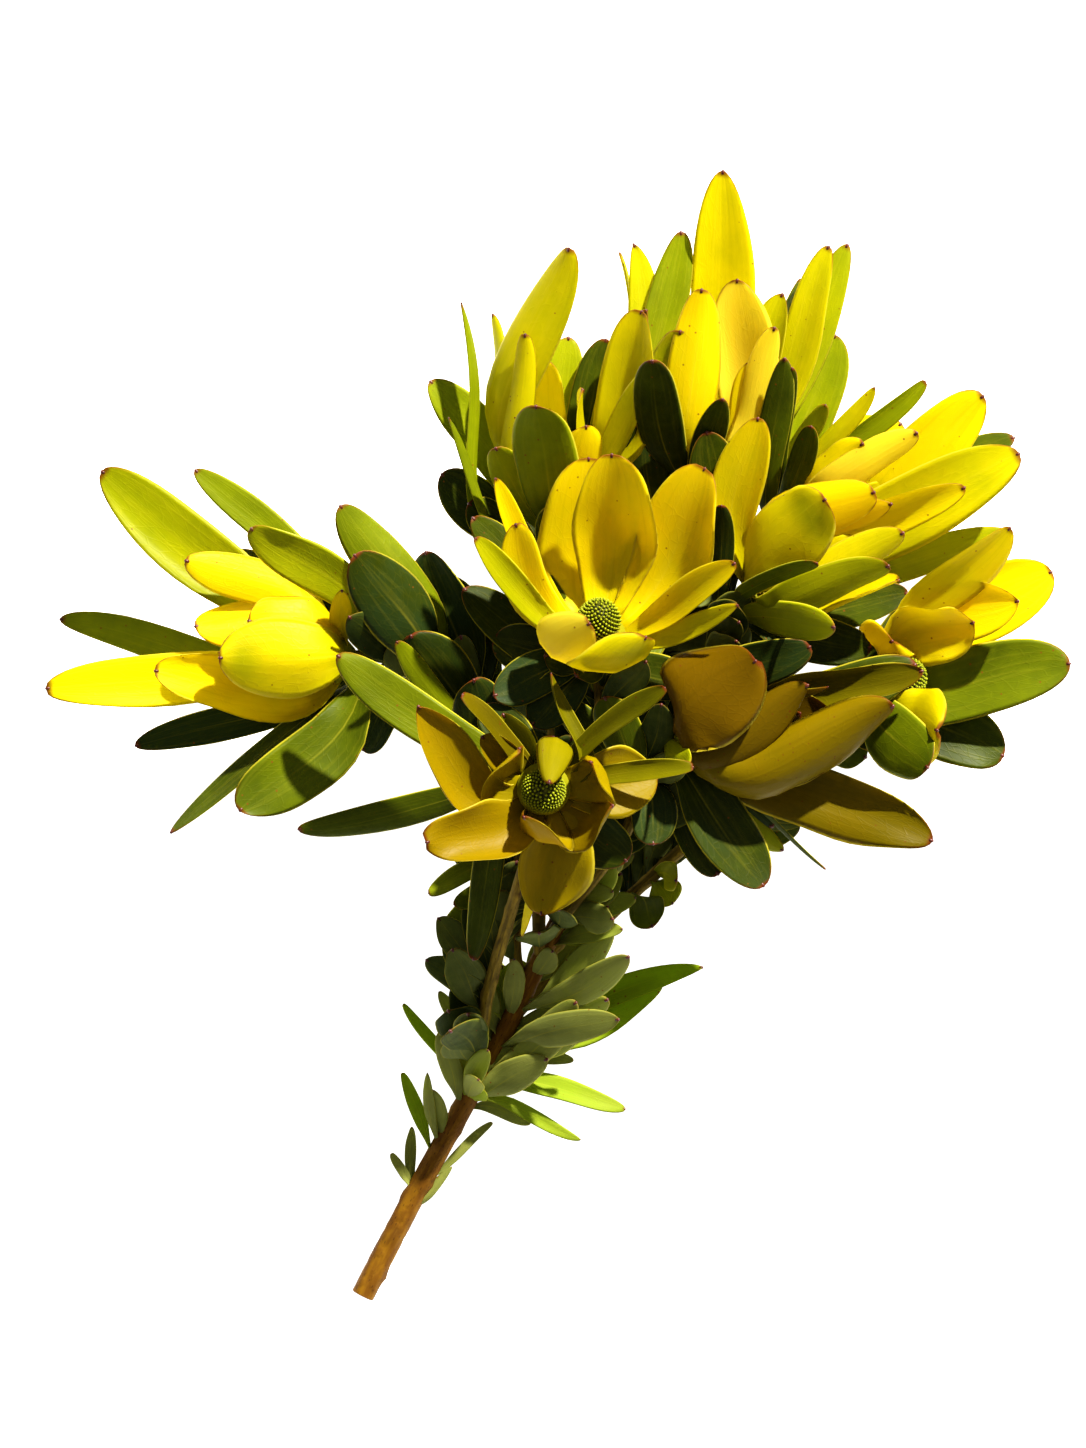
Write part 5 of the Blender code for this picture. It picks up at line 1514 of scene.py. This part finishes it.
CAMERA_DISTANCE = 5.0
SENSOR = 36.0
FRAME_CENTRE = (-6.2, 5.8)
FRAME_HEIGHT = 579.2 * MM
MIDDLE_HEIGHT = 60
FLOOR_SIZE = 6.0
FLOOR_GAP = 0.6 * MM
SUN_STRENGTH = 10
SUN_COLOUR = (1.0, 0.97, 0.92)
SUN_SOFTNESS = radians(2)
SUN_ELEVATION = radians(34)
SUN_BEARING = radians(30)
SKY = 0.34
FLOOR_GLOW = 0.9


def make_stage():
    """A pale floor, a soft sky, a low key light, and a camera that looks straight down."""
    scene = bpy.context.scene
    scene.view_settings.view_transform = "Standard"
    scene.view_settings.look = "Medium High Contrast"
    half = FLOOR_SIZE / 2
    corners = [(-half, -half, 0), (half, -half, 0), (half, half, 0), (-half, half, 0)]
    mesh = bpy.data.meshes.new("floor")
    mesh.from_pydata(corners, [], [(0, 1, 2, 3)])
    mesh.materials.append(floor_finish())
    floor = linked("floor", mesh)
    floor.location = (0, 0, -FLOOR_GAP)
    floor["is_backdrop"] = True
    world = bpy.data.worlds.new("sky")
    world.use_nodes = True
    world.node_tree.nodes["Background"].inputs["Color"].default_value = (1, 1, 1, 1)
    world.node_tree.nodes["Background"].inputs["Strength"].default_value = SKY
    scene.world = world
    sun = bpy.data.lights.new("key", "SUN")
    sun.energy = SUN_STRENGTH
    sun.angle = SUN_SOFTNESS
    sun.color = SUN_COLOUR
    light = linked("key", sun)
    level = cos(SUN_ELEVATION)
    toward = Vector((sin(SUN_BEARING) * level, cos(SUN_BEARING) * level, sin(SUN_ELEVATION)))
    light.rotation_euler = toward.to_track_quat("Z", "Y").to_euler()
    camera = linked("camera", bpy.data.cameras.new("camera"))
    camera.data.sensor_fit = "VERTICAL"
    camera.data.sensor_height = SENSOR
    camera.data.lens = SENSOR * CAMERA_DISTANCE / FRAME_HEIGHT
    camera.data.clip_end = 50
    camera.location = at(*FRAME_CENTRE, MIDDLE_HEIGHT) + Vector((0, 0, CAMERA_DISTANCE))
    scene.camera = camera


# The dressed part


def leaves_piece(name, blades, materials, node=None, base=None, shade_and_crumple=0):
    """One piece for all the blades of a node, on a base if there is one."""
    shape = Shape()
    if base:
        add_receptacle(shape, *base)
    rule = Random("looks " + name)
    for blade in blades:
        add_blade(shape, blade, rule, shade_and_crumple)
    return shape.piece(name, materials, node)


def main():
    placed = Placed()
    blades = all_blades(placed)
    more = more_leaves(placed)
    leaf_skin = blade_finish("leaf_skin", BLADE_COLOURS, 0.45, 0.34, 0.014, 0.6)
    # The small leaves' skin, painted lighter on the stem and darker deep in the crown.
    small_lit_shaded_skin = blade_finish("small_leaf_lit_shaded_skin", SMALL_LIT_SHADED_COLOURS, 0.6, 0.4, 0.014, 0.3)
    bract_skin = blade_finish("bract_skin", BLADE_COLOURS, 0.42, 0.54, 0.03, 0.7)
    bead = bead_finish()
    leaf_skins = [leaf_skin, bead, small_lit_shaded_skin]
    bark = bark_finish("orange_bark", *ORANGE_BARK)
    twig = bark_finish("brown_bark", *BROWN_BARK)
    florets = floret_finish()
    stem = Shape()
    line = add_bark(stem, stem_line(), STEM_RADII, BARK_SIDES, KNOTS_FROM["stem"], length_of(stem_line()))
    add_cut_end(stem, line, STEM_RADII[0], BARK_SIDES, (line[1] - line[0]).normalized())
    stem.piece("main_stem_bark", [bark, cut_finish()], "main_stem")
    leaves_piece("main_stem_leaves", blades["main_stem"] + more["main_stem"], leaf_skins)
    for name in BRANCHES:
        line = branch_line(name)
        node = "branch_" + name
        rod = Shape()
        add_bark(rod, line, BRANCH_RADII, TWIG_SIDES, KNOTS_FROM["branch"], length_of(line) - NECK)
        rod.piece(node + "_twig", [twig])
        leaves_piece(node + "_leaves", blades[node] + more[node], leaf_skins, node)
        base = (line, head_axis(name))
        node = "bracts_" + name
        # How much painted shade this head's bracts get, which also makes their edges wave and roll more.
        shade_and_crumple = HEAD_SHADE_AND_CRUMPLE.get(name, 0)
        leaves_piece(node + "_fine", blades[node], [bract_skin, bead], node, base, shade_and_crumple)
        cone = Shape()
        add_cone(cone, name, line)
        cone.piece("cone_" + name + "_florets", [florets], "cone_" + name)
    make_stage()


main()

boxes = {"packed": PACKED_BOX, "visual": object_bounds()}
{name: [list(corner) for corner in box] for name, box in boxes.items()}
